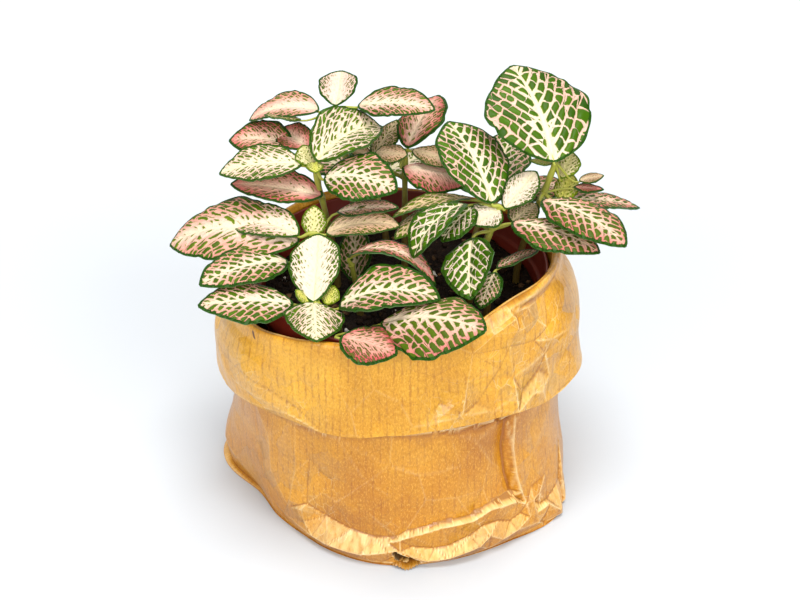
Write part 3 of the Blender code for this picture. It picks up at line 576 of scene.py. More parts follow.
def paper_finish():
    finish = Finish("kraft_paper", 0.3, 0.6)
    along, down, crease = finish.attribute("sheet")
    wear, mouth, painted_sheen_and_shade = finish.attribute("wear")
    place = finish.place()
    cloud = finish.noise(place, 30.0, 4.0, 0.6)
    # ribs, fibres and flecks
    broken = finish.noise(finish.vector(along * 0.45, down * 0.14), 1.0, 3.0, 0.6)
    wander = finish.noise(finish.vector(along * 0.05, down * 0.05), 1.0, 2.0)
    rib = abs((along / RIB_PITCH + wander * 0.5).past_whole() - 0.5) * 2.0
    line = (1.0 - rib.smooth(0.05, 0.5)) * broken.smooth(0.36, 0.7)
    fibre = finish.noise(finish.vector(along * 1.6, down * 0.7), 1.0, 5.0, 0.75)
    fleck = finish.noise(place, 420.0, 2.0)
    patch = cloud.smooth(0.3, 0.72)
    body, cuff = finish.mix(patch, *PAPER_DULL), finish.mix(patch, *PAPER_GLAZED)
    colour = finish.mix(down.smooth(85.0, 95.0), body, cuff)
    colour = finish.mix(line * 0.52, colour, PAPER_RIB)
    colour = finish.mix(fibre.smooth(0.5, 0.7) * 0.55, colour, PAPER_LIGHT_FIBRE)
    colour = finish.mix(fibre.smooth(0.5, 0.3) * 0.6, colour, PAPER_DARK_FIBRE)
    colour = finish.mix(fleck.smooth(0.74, 0.82) * 0.7, colour, PAPER_FLECK)
    # crumpled facets and the scratches between them; painted highlight on ridges and up-facing facets,
    # painted shade in valleys, on down-facing facets, under the hem and in the mouth
    bent = finish.noise(place, 120.0, 3.0)
    large = finish.vector(along * 0.11 + cloud * 1.2 + bent * 0.35, down * 0.09 + cloud - bent * 0.3)
    small = finish.vector(along * 0.26 + cloud * 2.0 + bent * 0.8, down * 0.2 - bent * 0.9)
    plane, plane_edge = finish.facets(large)
    chip, chip_edge = finish.facets(small)
    gaps = finish.noise(place, 210.0, 2.0).smooth(0.46, 0.6)
    crackle = chip_edge.least(plane_edge * 1.5)
    scratch = (1.0 - crackle.smooth(0.005, 0.035)) * gaps * wear.smooth(0.1, 0.9)
    ridge = (crease.most(0.0) * (0.75 + gaps * 0.25) + scratch * 0.5).least(1.0)
    # painted sheen where the paper faces up, a little patchy, and painted shade where it faces down and under
    # the hem
    painted_sheen = painted_sheen_and_shade.smooth(0.08, 0.7) * (broken.smooth(0.3, 0.62) * 0.45 + 0.3)
    colour = finish.mix(painted_sheen, colour, PAPER_PAINTED_SHEEN)
    colour = finish.mix((painted_sheen_and_shade * -1.0).smooth(0.06, 0.6) * 0.6, colour, PAPER_SHADED)
    # painted highlight along the ridges, with real whitened scratches where the paper is worn
    colour = finish.mix(ridge * 0.85, colour, PAPER_RIDGE_HIGHLIGHT_AND_SCRATCH)
    # painted shade in the valleys
    colour = finish.mix((crease * -1.5).most(0.0), colour, PAPER_VALLEY_SHADE)
    # painted shade in the mouth of the folded end, and a little on the cut edge that lies out of it
    colour = finish.mix(mouth * 0.9, colour, PAPER_MOUTH_SHADE)
    nick = abs(along - down * 0.5 - NICK_ALONG) + (abs(down - NICK_DOWN) - NICK_LENGTH / 2).most(0.0)
    finish.paint(finish.mix(nick.smooth(0.8, 0.3), colour, PAPER_NICK))
    crumple = plane * (wear * 8.0 + 2.0) + chip * (wear * 1.6 + 0.2)
    finish.bump(crumple + fibre * 0.05 - line * 0.04, 0.0008, 0.9)
    return finish.material


# ---------------------------------------------------------------- modelling by hand


def clear_selection():
    bpy.ops.object.select_all(action="DESELECT")


def picked():
    return bpy.context.view_layer.objects.active


def pick(*pieces):
    clear_selection()
    for piece in pieces:
        piece.select_set(True)
    bpy.context.view_layer.objects.active = pieces[0]


def apply_modifier(piece, kind, **settings):
    pick(piece)
    modifier = piece.modifiers.new("shape", kind)
    for name, value in settings.items():
        setattr(modifier, name, value)
    bpy.ops.object.modifier_apply(modifier=modifier.name)


def points_of(piece):
    points = np.empty(len(piece.data.vertices) * 3)
    piece.data.vertices.foreach_get("co", points)
    return points.reshape(-1, 3)


def move_points(piece, points):
    piece.data.vertices.foreach_set("co", np.asarray(points, np.float32).ravel())
    piece.data.update()


def give_attribute(piece, name, *columns):
    """A vector attribute on the points, from three numbers or arrays."""
    count = len(piece.data.vertices)
    filled = [np.broadcast_to(np.asarray(column, float), count) for column in columns]
    attribute = piece.data.attributes.new(name, "FLOAT_VECTOR", "POINT")
    attribute.data.foreach_set("vector", np.stack(filled, axis=-1).astype(np.float32).ravel())


def dress(piece, *finishes):
    piece.data.materials.clear()
    for finish in finishes:
        piece.data.materials.append(finish)


def join(name, pieces):
    pick(*pieces)
    if len(pieces) > 1:
        bpy.ops.object.join()
    piece = picked()
    piece.name = name
    piece.data.name = name
    return piece


def close_seams(piece, distance=0.00001):
    pick(piece)
    bpy.ops.object.mode_set(mode="EDIT")
    bpy.ops.mesh.select_all(action="SELECT")
    bpy.ops.mesh.remove_doubles(threshold=distance)
    bpy.ops.mesh.normals_make_consistent(inside=False)
    bpy.ops.object.mode_set(mode="OBJECT")


def smooth(piece, degrees=60):
    pick(piece)
    bpy.ops.object.shade_smooth_by_angle(angle=math.radians(degrees))


# ---------------------------------------------------------------- leaves


def heading(turn, rise):
    turn = np.radians(turn)
    rise = np.radians(rise)
    return np.stack([np.cos(rise) * np.cos(turn), np.cos(rise) * np.sin(turn), np.sin(rise)], axis=-1)


def half_width(share, full):
    """A blade's half-width along its length, as a share of its greatest."""
    foot = np.sin(np.clip(share / full, 0, 1) * math.pi / 2) ** FOOT_FULLNESS
    point = np.cos(np.clip((share - full) / (1 - full), 0, 1) * math.pi / 2) ** POINT_FULLNESS
    return np.maximum(np.minimum(foot, point), NARROWEST)


def blade_points(leaf, foot, share, across):
    """Points of the blade's middle surface, in mm, for shares of its length and of its half-width."""
    knots = np.linspace(0, 1, 121)
    middle = (knots[1:] + knots[:-1]) / 2
    steps = heading(leaf.turn + leaf.sweep * middle, leaf.rise - leaf.droop * middle)
    rib = np.concatenate([np.zeros((1, 3)), np.cumsum(steps * leaf.long / 120, axis=0)])
    centre = np.asarray(foot, float) + np.stack([np.interp(share, knots, rib[:, i]) for i in range(3)], -1)
    turn = leaf.turn + leaf.sweep * share
    along = heading(turn, leaf.rise - leaf.droop * share)
    level = heading(turn + 90, np.zeros_like(share))
    above = np.cross(along, level)
    roll = math.radians(leaf.roll)
    side = level * math.cos(roll) + above * math.sin(roll)
    above = above * math.cos(roll) - level * math.sin(roll)
    out = np.abs(across)
    fold = np.where(across > 0, leaf.left, leaf.right)
    lean = np.radians(fold - leaf.curl * out / 2)
    width = half_width(share, leaf.full)
    uneven = 1 + 0.03 * np.sin(share * 15 + leaf.turn) + 0.02 * np.sin(share * 29 + leaf.foot[0] + across)
    reach = width * uneven * leaf.wide / 2 * across
    ripple = leaf.wave * out ** 2 * np.sin(
        (RIPPLES * share + RIPPLE_SHIFT * np.sign(across)) * 2 * math.pi + leaf.turn
    )
    scallop = 0.012 * leaf.wide * out ** 4 * np.sin(share * 38 + np.sin(share * 17 + leaf.turn) * 2)
    lift = np.abs(reach) * np.sin(lean) + (ripple + scallop) * width
    return centre + side * (reach * np.cos(lean))[:, None] + above * lift[:, None]


VEIN_ANGLE = 52
GROOVE = 0.6                 # depth along the midrib of a leaf 30 mm wide


def lateral_place(leaf, share, reach):
    """Where along the midrib each point's side vein leaves it. Below the foot's own vein they fan out."""
    bend = leaf.wide / leaf.long * 0.55 * (reach + 0.3 * reach ** 2)
    start = share - bend
    fan = 0.3 * (share / np.maximum(bend, 0.001) - 1)
    return np.where(start < 0, np.maximum(fan, start), start)


def place_along_lateral(leaf, share, reach):
    """Length along the side veins, which leave the midrib at VEIN_ANGLE: 1 from midrib to margin."""
    angle = math.radians(VEIN_ANGLE)
    length = leaf.wide / 2 / math.sin(angle)
    return (share * leaf.long * math.cos(angle) + reach * leaf.wide / 2 * math.sin(angle)) / length


def relief(leaf, look, rows, share, across, reach):
    """The blade is quilted: sunk along the midrib and the side veins, and puffed up between them."""
    size = leaf.wide / 30
    groove = -GROOVE * np.exp(-((across / 0.08) ** 2)) * (1 - 0.7 * share)
    shift = np.where(across > 0, HALF_SHIFT, 0.0)
    wave = np.cos((rows + shift) * 2 * math.pi)
    quilt = -0.3 * wave * np.clip(reach * 3, 0, 1) * np.clip((1 - np.abs(across)) * 4, 0, 1)
    return (groove + quilt * (1.2 - 0.5 * look.breadth)) * size


def make_blade(leaf, foot, number, finishes):
    look = LOOKS[leaf.look]
    rows = 12 + round(leaf.long * 0.9)
    columns = 10 + 2 * round(leaf.wide * 0.35)
    bpy.ops.mesh.primitive_grid_add(x_subdivisions=rows, y_subdivisions=columns, size=2)
    blade = picked()
    flat = points_of(blade)
    even = (flat[:, 0] + 1) / 2
    share = 0.5 * even + 0.25 * (1 - np.cos(math.pi * even))
    across = flat[:, 1]
    move_points(blade, blade_points(leaf, foot, share, across) * MM)
    width = half_width(share, leaf.full)
    reach = width * np.abs(across)
    lateral = lateral_place(leaf, share, reach) * look.rows
    normals = np.empty(len(flat) * 3)
    blade.data.vertex_normals.foreach_get("vector", normals)
    lift = relief(leaf, look, lateral, share, across, reach)
    move_points(blade, points_of(blade) + normals.reshape(-1, 3) * (lift * MM)[:, None])
    step = 0.01
    slope = (half_width(share + step, leaf.full) - half_width(share - step, leaf.full)) / (2 * step)
    lean = np.sqrt(1 + (slope * leaf.wide / 2 / leaf.long) ** 2)
    margin = (1 - np.abs(across)) * width * leaf.wide / 2 / lean
    give_attribute(blade, "place", share, across * width, margin)
    give_attribute(blade, "net", lateral, place_along_lateral(leaf, share, reach) * look.cells, number)
    give_attribute(blade, "look", look.breadth, look.pink, look.youth)
    give_attribute(blade, "tone", look.tan, look.band * min(1.0, 0.5 + leaf.wide / 50), look.split)
    dress(blade, *finishes)
    apply_modifier(
        blade, "SOLIDIFY", thickness=BLADE * MM, offset=0, material_offset=1, material_offset_rim=2,
    )
    return blade


# ---------------------------------------------------------------- stems


NODE_SWELLING = 0.45
NODE_SPAN = 0.035            # as a share of the stem's length


def curve_through(start, start_way, end, end_way, count):
    start, start_way = np.asarray(start, float), np.asarray(start_way, float)
    end, end_way = np.asarray(end, float), np.asarray(end_way, float)
    pull = np.linalg.norm(end - start) / 3
    share = np.linspace(0, 1, count)[:, None]
    return (
        (1 - share) ** 3 * start
        + 3 * (1 - share) ** 2 * share * (start + start_way * pull)
        + 3 * (1 - share) * share ** 2 * (end - end_way * pull)
        + share ** 3 * end
    )


def stem_path(shoot, count):
    root = np.array((*shoot.root, SOIL_TOP - STEM_HOLE_DEPTH + 1))
    lean = np.array(shoot.crown, float) - (*shoot.root, SOIL_TOP)
    lean /= np.linalg.norm(lean)
    rest = curve_through((*shoot.root, SOIL_TOP + 1.0), (0, 0, 1), shoot.crown, lean, count)
    return np.concatenate([[root], rest])


def make_tube(path, radii):
    """A round tube along a smooth path, thicker and thinner as the radii say, all in mm."""
    curve = bpy.data.curves.new("tube", "CURVE")
    curve.dimensions = "3D"
    curve.bevel_depth = MM
    curve.bevel_resolution = 3
    curve.use_fill_caps = True
    spline = curve.splines.new("POLY")
    spline.points.add(len(path) - 1)
    for point, place, radius in zip(spline.points, path, radii):
        point.co = (*(np.asarray(place) * MM), 1)
        point.radius = radius
    tube = bpy.data.objects.new("tube", curve)
    bpy.context.scene.collection.objects.link(tube)
    pick(tube)
    bpy.ops.object.convert(target="MESH")
    return picked()


def make_stem(shoot):
    """The shoot's stem, swollen a little at each pair of leaves, with the petioles that leave it."""
    path = stem_path(shoot, 25)
    along = np.linspace(0, 1, len(path))
    radii = np.linspace(STEM_RADIUS, STEM_TIP_RADIUS, len(path))
    for node in sorted({leaf.node for leaf in shoot.leaves}):
        radii += NODE_SWELLING * np.exp(-(((along - node) / NODE_SPAN) ** 2))
    tubes = [make_tube(path, radii)]
    for leaf in shoot.leaves:
        foot = np.array(shoot.crown, float) + leaf.foot
        coarse = stem_path(shoot, 5)
        start = coarse[1 + round(leaf.node * (len(coarse) - 2))]
        share = np.linspace(0, 0.75, 10)[1:]
        rib = blade_points(leaf, foot, share, np.zeros_like(share))
        way = (foot - start) + (0, 0, 2)
        way = way / np.linalg.norm(way)
        lead = curve_through(start, way, foot, heading(leaf.turn, leaf.rise), 8)
        size = min(1.0, 0.45 + leaf.long / 60)
        thin = np.concatenate([
            np.linspace(PETIOLE_RADIUS, PETIOLE_TIP_RADIUS, len(lead)),
            np.linspace(PETIOLE_TIP_RADIUS, 0.12, len(rib)),
        ])
        hollow = GROOVE * leaf.wide / 30 * (1 - 0.7 * share)
        sunk = np.concatenate([np.linspace(0, 0.6, len(lead)), hollow + 0.5])
        route = np.concatenate([lead, rib]) - np.outer(sunk, (0, 0, 1))
        tubes.append(make_tube(route, thin * size))
    return tubes


def make_shoot(name, shoot, finishes, first_number):
    blades = []
    for number, leaf in enumerate(shoot.leaves):
        foot = np.array(shoot.crown, float) + leaf.foot
        blades.append(make_blade(leaf, foot, first_number + number, finishes["leaf"]))
    leaves = join(name + "_leaves", blades)
    smooth(leaves, 70)
    stems = join(name + "_stem", make_stem(shoot))
    height = points_of(stems)[:, 2] / MM
    age = np.clip((height - SOIL_TOP) / (shoot.crown[2] - SOIL_TOP), 0, 1)
    give_attribute(stems, "stem", age, 0, 0)
    dress(stems, finishes["stem"])
    smooth(stems, 70)
    for piece in (leaves, stems):
        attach(piece, "root")
        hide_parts(name)
    return len(blades)


# ---------------------------------------------------------------- paper bag

BAG_SIDES = 560
FRONT_SHARE = 0.35           # how much closer the sides stand at the front than at the back
SEAM_WIDTH = 0.1             # degrees left for the seam at the back, where the sheet's two ends meet
HEM_HEIGHT = 6               # its column in BAG_SECTIONS
# Numbers of rings in the bag's outline, which bag_rings lists from the middle of the bottom to the hem.
FOOT, TUCKED_UNDER_CUFF, INNER_CREST, CREST, OUTER_CREST, HEM = 3, 7, 8, 10, 12, 15
# The closed sheet's rows: on one face from the middle of the bottom, up the outside of the body, round the
# crest and down the inside of the cuff to the hem, and on the other face back again, up the outside of the
# cuff and down the inside of the body. Ring numbers of each stretch's start and end, and its rows of mesh.
BODY_FACE = ((0, 2, 2), (2, 3, 3), (3, 7, 72), (7, 8, 6), (8, 11, 3), (11, 14.6, 3), (14.6, 15, 2))
CUFF_FACE = ((15, 12, 64), (12, 11, 4), (11, 8, 9), (8, 7, 3), (7, 3, 3), (3, 0, 2))
# The stretches out of sight have few rows, so they stand further in: ring number, mm.
ROOM_IN_BODY = ((2.6, 0), (3, 6.0), (5, 6.0), (7.4, 1.8), (8, 0))
ROOM_IN_CUFF = ((11, 0), (11.5, 1.8), (14.5, 1.8), (15, 0))
LAID_OUT = 220.0             # up the outside of the body and down the cuff, along the paper, in mm
STEEPEST = 0.6               # slope at which the painted sheen of up-facing facets and the painted shade of down-facing ones reach their full tone
# limits of the painted crease light: painted shade in valleys below 0, painted highlight on ridges above it
DARKEST_VALLEY, LIGHTEST_RIDGE = -0.5, 0.6
# painted shadow under the hem: how far below it reaches, in mm, and how dark it is
SHADE_BELOW_HEM = 5.5        # mm
SHADE = 0.75
SEEDING_TRIES = 4000         # at finding places for small creases, clear of the others


def around(angle, column):
    """A section's value at any angle in degrees, flowing smoothly from section to section round the bag."""
    keys = sorted(BAG_SECTIONS)
    knots = np.array([keys[-2] - 360, keys[-1] - 360, *keys, keys[0] + 360, keys[1] + 360], float)
    values = np.array([BAG_SECTIONS[int((k + 180) % 360 - 180)][column] for k in knots], float)
    angle = (np.asarray(angle, float) + 180) % 360 - 180
    i = np.clip(np.searchsorted(knots, angle, side="right") - 1, 1, len(knots) - 3)
    left, right = knots[i], knots[i + 1]
    share = (angle - left) / (right - left)
    slope_left = (values[i + 1] - values[i - 1]) / (knots[i + 1] - knots[i - 1]) * (right - left)
    slope_right = (values[i + 2] - values[i]) / (knots[i + 2] - knots[i]) * (right - left)
    return (
        (2 * share ** 3 - 3 * share ** 2 + 1) * values[i]
        + (share ** 3 - 2 * share ** 2 + share) * slope_left
        + (3 * share ** 2 - 2 * share ** 3) * values[i + 1]
        + (share ** 3 - share ** 2) * slope_right
    )


def bag_rings(angles):
    """Radius and height of each ring of the sheet's outline, from the centre of the bottom to the hem."""
    foot, waist, crest, top, cuff, hem, hem_height = (around(angles, column) for column in range(7))
    low = np.full_like(angles, PAPER_THICKNESS)
    inside = crest - FOLD_RADIUS
    outside = crest + FOLD_RADIUS
    turn = FOLD_RADIUS * 0.2
    drop = FOLD_RADIUS * 0.8
    rings = [
        (foot * 0, low),
        (foot * 0.5, low),
        (foot - FOOT_ROUND, low),
        (foot - FOOT_ROUND * 0.2, low + FOOT_ROUND * 0.6),
        (foot * 0.6 + waist * 0.4 + 1.0, low + WAIST_HEIGHT / 3),
        (foot * 0.2 + waist * 0.8 + 0.6, low + WAIST_HEIGHT * 2 / 3),
        (waist, low + WAIST_HEIGHT),
        ((waist + inside) / 2, (top + WAIST_HEIGHT) / 2),
        (inside, top - 5),
        (inside + turn, top - drop),
        (crest, top),
        (outside - turn, top - drop),
        (outside + 0.5, top - 5),
        (outside * 0.4 + cuff * 0.6, top * 0.75 + hem_height * 0.25),
        (cuff, (top + hem_height) / 2),
        (hem, hem_height),
    ]
    return np.array([radius for radius, _ in rings]), np.array([height for _, height in rings])


def between_rings(values, run):
    """Values on the rings (ring, side), read smoothly at any run from ring to ring (one run a side)."""
    last = len(values) - 1
    ring = np.clip(np.floor(run).astype(int), 0, last - 1)
    share = run - ring
    side = np.arange(values.shape[1])
    before, here = values[np.maximum(ring - 1, 0), side], values[ring, side]
    after, beyond = values[ring + 1, side], values[np.minimum(ring + 2, last), side]
    return 0.5 * (
        2 * here
        + (after - before) * share
        + (2 * before - 5 * here + 4 * after - beyond) * share ** 2
        + (3 * here - before - 3 * after + beyond) * share ** 3
    )


# Folds pressed into the paper, each through places of (angle, height, how far it stands out in mm).
LAP_FOLD = [(-46.4, 62, 1.0), (-48.2, 47, 1.8), (-47.2, 34, 2.2), (-45.4, 24, 2.2), (-43.8, 18, 2.0)]
BODY_FOLDS = [
    # the soft left corner, and the flattened side beyond it
    [(-129, 60, 0.5), (-130, 35, 0.9), (-134, 14, 1.0)],
    [(-152, 58, 0.0), (-150, 36, -0.6), (-149, 20, -0.4), (-144, 8, 0.2)],
    # a zigzag crease beside it
    [(-123, 58, 0.0), (-124, 44, -0.3), (-125, 34, -0.7), (-119, 29, -0.6), (-113, 27, -0.4)],
    # the bottom's left bulge: a hollow above a sharp ridge
    [(-126, 20, -1.0), (-118, 17, -2.2), (-108, 14, -2.6), (-99, 13, -2.0), (-91, 15, -0.6)],
    [(-136, 7, 1.0), (-123, 5.5, 2.2), (-116, 5, 2.6), (-104, 5.5, 2.6), (-94.5, 8, 1.9)],
    [(-127, 11, 1.2), (-128, 16, 0.6)],
    [(-136, 0.8, 0.2), (-123, 0.8, 0.5), (-112, 0.8, 0.7), (-98, 0.8, 0.9)],
    # the mouth of the folded end, a recess that is also painted dark as shade
    [(-92.5, 8.6, 1.8), (-92, 5, 0.6), (-90, 2.5, 0.8)],
    [(-90.5, 8.0, 2.0), (-84.5, 4.6, 2.6), (-80.5, 2.6, 2.8)],
    [(-90.5, 6.6, -4.0), (-85.5, 3.6, -4.5), (-82.5, 2.4, -3.0)],
    # the folded end of the bottom: its edge, the hollow below it and its own ridge
    [(-94, 12, 0.0), (-88, 18, -0.4), (-76, 21, -0.4), (-65, 21, -0.5), (-58, 24, -0.6), (-47, 22, -0.6)],
    [(-90, 14.5, 1.6), (-86, 17, 2.2), (-76, 20, 2.4), (-65, 20, 2.5), (-58, 23, 2.5), (-48, 21, 2.4)],
    [(-86, 11, 0.8), (-78, 8.8, 0.6), (-74, 9, 0.7), (-66, 12, 0.7), (-61, 15.5, 0.9)],
    [(-90, 9, 1.8), (-81, 4, 3.4), (-74, 4.5, 4.2), (-63, 7, 4.2), (-59, 10.5, 3.6), (-54, 6, 3.6),
     (-48, 7, 3.0), (-43, 11, 2.4)],
    [(-55, 15, 0.9), (-50, 12, 0.6), (-46, 14, 0.9)],
    [(-79, 0.8, 1.6), (-70, 0.8, 1.4), (-58, 0.8, 1.2), (-48, 0.8, 0.8)],
    # the front panel is drawn in beside the fold where the right side's panel laps over it
    [(-62, 56, -0.2), (-57, 44, -0.8), (-60, 32, -0.4)],
    [(-48.6, 62, -2.6), (-50.4, 47, -3.4), (-49.4, 34, -3.2), (-47.6, 24, -2.4)],
    LAP_FOLD,
    [(-42, 62, 0.3), (-43.8, 47, 0.8), (-42.8, 34, 1.2), (-41, 24, 1.2)],
    # the pinched corner below it
    [(-40, 16, 0.2), (-37, 13, 0.4), (-33, 12, -0.6)],
    [(-41, 18, 2.4), (-40, 11, 2.4), (-39, 5, 1.8)],
    [(-38, 19, 1.8), (-34, 11, 1.8), (-29, 4, 3.4), (-28, 0.8, 3.2)],
    [(-36, 3, 0.0), (-35, 0.8, 0.0)],
    [(-21, 12, -1.0), (-19, 3, -1.4)],
    # the far left corner stands off the ground
    [(-188, 2, -1.0), (-180, 2, -1.8), (-172, 2, -1.4), (-160, 1, -0.6)],
    [(-188, 12, 0.2), (-180, 14, 1.4), (-172, 11, 0.6), (-160, 6, 0.4), (-146, 4, 0.8)],
    [(-32, 24, 0.2), (-26, 14, -0.4)],
    [(-33, 44, 1.0), (-30, 30, 0.4)],
    [(-18, 56, 0.0), (-17, 30, 0.6), (-20, 8, 0.8)],
]
# The mouth between the bottom's left bulge and its folded end, painted dark as shade: angle, height.
MOUTH = ((-93.0, 8.4), (-91.5, 3.2), (-83.5, 1.6), (-84.5, 4.2))
CUFF_FOLDS = [
    [(-66, 100, 0.2), (-58, 106, 1.3), (-49, 109, 1.4), (-48, 103, 0.6), (-52, 98, -0.4), (-56, 90, -0.7)],
    [(-55, 112, 0.0), (-51, 113, 0.5), (-48, 108, 0.1)],
    [(-43, 110, 0.5), (-40, 104, 1.0), (-41, 95, -0.2)],
    [(-34, 97, 0.5), (-33, 91, 1.5), (-35, 86, 0.4), (-37, 79, -1.0)],
    [(-46, 74, -1.0), (-42, 71, 1.0), (-37, 70, 1.6), (-32, 73, 0.4)],
    [(-51, 84, 0.2), (-50, 76, 1.3), (-49, 67, 1.0)],
    [(-77, 81, -0.4), (-70, 75, 1.0), (-65, 78, -0.2), (-59, 73, 0.9)],
    [(-90, 82, -0.1), (-86, 72, 0.5)],
    [(-112, 88, 0.0), (-106, 76, 0.3), (-104, 66, 0.4)],
    [(-168, 68, -0.2), (-156, 70, 0.7), (-143, 69, 0.8), (-130, 66, 0.9)],
    [(-150, 78, -0.4), (-138, 75, -0.6), (-126, 70, -0.3)],
    [(-26, 100, 0.3), (-22, 88, 0.8), (-24, 76, 0.2)],
]


# Where the paper is crumpled: angle, height, how far round in mm, how much.
BODY_WEAR = (
    (-121, 36, 14, 0.75), (-120, 14, 16, 0.8), (-95, 12, 12, 0.7), (-62, 12, 18, 0.7), (-42, 18, 12, 1.0),
    (-33, 8, 14, 0.9), (-36, 40, 10, 0.4), (-150, 25, 12, 0.4), (-90, 32, 10, 0.25), (-20, 30, 12, 0.4),
    (30, 20, 20, 0.6), (90, 15, 25, 0.6), (150, 25, 20, 0.6),
)
CUFF_WEAR = (
    (-35, 88, 22, 1.0), (-48, 100, 16, 1.0), (-45, 74, 16, 1.0), (-22, 78, 16, 1.0), (-54, 86, 12, 0.8),
    (-74, 78, 12, 0.9), (-145, 72, 16, 0.8), (-126, 70, 12, 0.7), (-105, 84, 10, 0.3), (-165, 90, 12, 0.5),
    (20, 85, 20, 0.5), (80, 75, 20, 0.5), (140, 80, 20, 0.5),
)


def round_gap(along, other):
    """From one length along the paper to another, the shorter way round the bag."""
    return (along - other + ONCE_ROUND / 2) % ONCE_ROUND - ONCE_ROUND / 2


def wear_at(spots, along, height):
    """How crumpled each place is, from 0 to 1, fading round each spot."""
    wear = np.zeros(len(along))
    for angle, spot_height, size, amount in spots:
        gap = round_gap(along, angle * MM_A_DEGREE)
        wear = np.maximum(wear, amount * np.exp(-(gap ** 2 + (height - spot_height) ** 2) / size ** 2))
    return wear


def triangles_between(folds, low, high, spacing, lift, worn, seed):
    """The folds' places and seeded ones among them, on the laid-out sheet, joined up by triangles.

    The seeded places stand out by up to lift in mm, and by up to three times that where the paper is worn.
    Returns the places' (along, height, lift) in mm, over three laps of the bag, and the triangles.
    """
    places = []
    edges = []
    for fold in folds:
        first = len(places)
        places += [(angle * MM_A_DEGREE, height, rise) for angle, height, rise in fold]
        edges += [(first + i, first + i + 1) for i in range(len(fold) - 1)]
    draw = np.random.default_rng(seed)
    for _ in range(SEEDING_TRIES):
        along = draw.uniform(-ONCE_ROUND / 2, ONCE_ROUND / 2)
        height = draw.uniform(low, high)
        rise = draw.uniform(-lift, lift)
        gaps = [math.hypot(round_gap(along, x), height - y) for x, y, _ in places]
        if min(gaps, default=ONCE_ROUND) > spacing:
            wear = wear_at(worn, np.array([along]), np.array([height]))[0]
            places.append((along, height, rise * (1 + 2 * wear)))
    count = len(places)
    laps = [(x + lap * ONCE_ROUND, y, z) for lap in (-1, 0, 1) for x, y, z in places]
    edges = [(a + lap * count, b + lap * count) for lap in range(3) for a, b in edges]
    found = delaunay_2d_cdt([Vector((x, y)) for x, y, _ in laps], edges, [], 0, 0.001)
    rises = [np.mean([laps[i][2] for i in origins]) if origins else 0.0 for origins in found[3]]
    points = np.column_stack([np.array([tuple(v) for v in found[0]]), rises])
    return points, found[2]


def set_on_creases(sheet, along, height):
    """Moves the places of a grid (row, column) nearest each crease onto it. Returns each one's crease."""
    creases = np.full(along.shape, -1)
    points, triangles = sheet
    pairs = {tuple(sorted(pair)) for t in triangles for pair in zip(t, (*t[1:], t[0]))}
    wide = np.median(np.diff(along[0]))
    tall = np.median(np.abs(np.diff(height[:, 0])))
    reach = 0.75             # of a cell: how far a place is moved at most
    for number, (first, second) in enumerate(sorted(pairs)):
        (x0, y0, _), (x1, y1, _) = points[first], points[second]
        columns = np.flatnonzero((along[0] > min(x0, x1) - wide) & (along[0] < max(x0, x1) + wide))
        columns = columns[(columns > 1) & (columns < along.shape[1] - 2)]
        if len(columns) == 0:
            continue
        x, y = along[:, columns], height[:, columns]
        if abs(y1 - y0) * wide > abs(x1 - x0) * tall:
            goal = x0 + (x1 - x0) * (y - y0) / (y1 - y0)
            near = np.argmin(np.abs(x - goal), axis=1)
            rows = np.arange(len(x))
            middle = y[rows, near]
            good = (middle >= min(y0, y1)) & (middle <= max(y0, y1))
            good &= np.abs(x - goal)[rows, near] < wide * reach
            along[rows[good], columns[near[good]]] = goal[rows, near][good]
            creases[rows[good], columns[near[good]]] = number
        else:
            goal = y0 + (y1 - y0) * (x - x0) / (x1 - x0)
            near = np.argmin(np.abs(y - goal), axis=0)
            places = np.arange(len(columns))
            middle = x[near, places]
            good = (middle >= min(x0, x1)) & (middle <= max(x0, x1)) & (near > 0) & (near < len(x) - 1)
            good &= np.abs(y - goal)[near, places] < tall * reach
            height[near[good], columns[good]] = goal[near, places][good]
            creases[near[good], columns[good]] = number
    return creases


def split_along_creases(bag, creases):
    """Splits the quads that a crease crosses from corner to corner, so that the crease stays an edge."""
    faces = np.empty(len(bag.data.polygons) * 4, np.int32)
    bag.data.polygons.foreach_get("vertices", faces)
    first, second, third, fourth = creases.ravel()[faces.reshape(-1, 4)].T
    forward = (first >= 0) & (first == third)
    backward = (second >= 0) & (second == fourth) & ~forward
    note = bag.data.attributes.new("crossed", "INT", "FACE")
    note.data.foreach_set("value", (forward + 2 * backward).astype(np.int32))
    pick(bag)
    bpy.ops.object.mode_set(mode="EDIT")
    bpy.ops.mesh.select_mode(type="FACE")
    bpy.ops.mesh.select_all(action="DESELECT")
    bpy.ops.object.mode_set(mode="OBJECT")
    for number, method in ((1, "FIXED"), (2, "FIXED_ALTERNATE")):
        ways = np.empty(len(bag.data.polygons), np.int32)
        bag.data.attributes["crossed"].data.foreach_get("value", ways)
        bag.data.polygons.foreach_set("select", ways == number)
        bpy.ops.object.mode_set(mode="EDIT")
        bpy.ops.mesh.quads_convert_to_tris(quad_method=method)
        bpy.ops.mesh.select_all(action="DESELECT")
        bpy.ops.object.mode_set(mode="OBJECT")
    bag.data.attributes.remove(bag.data.attributes["crossed"])


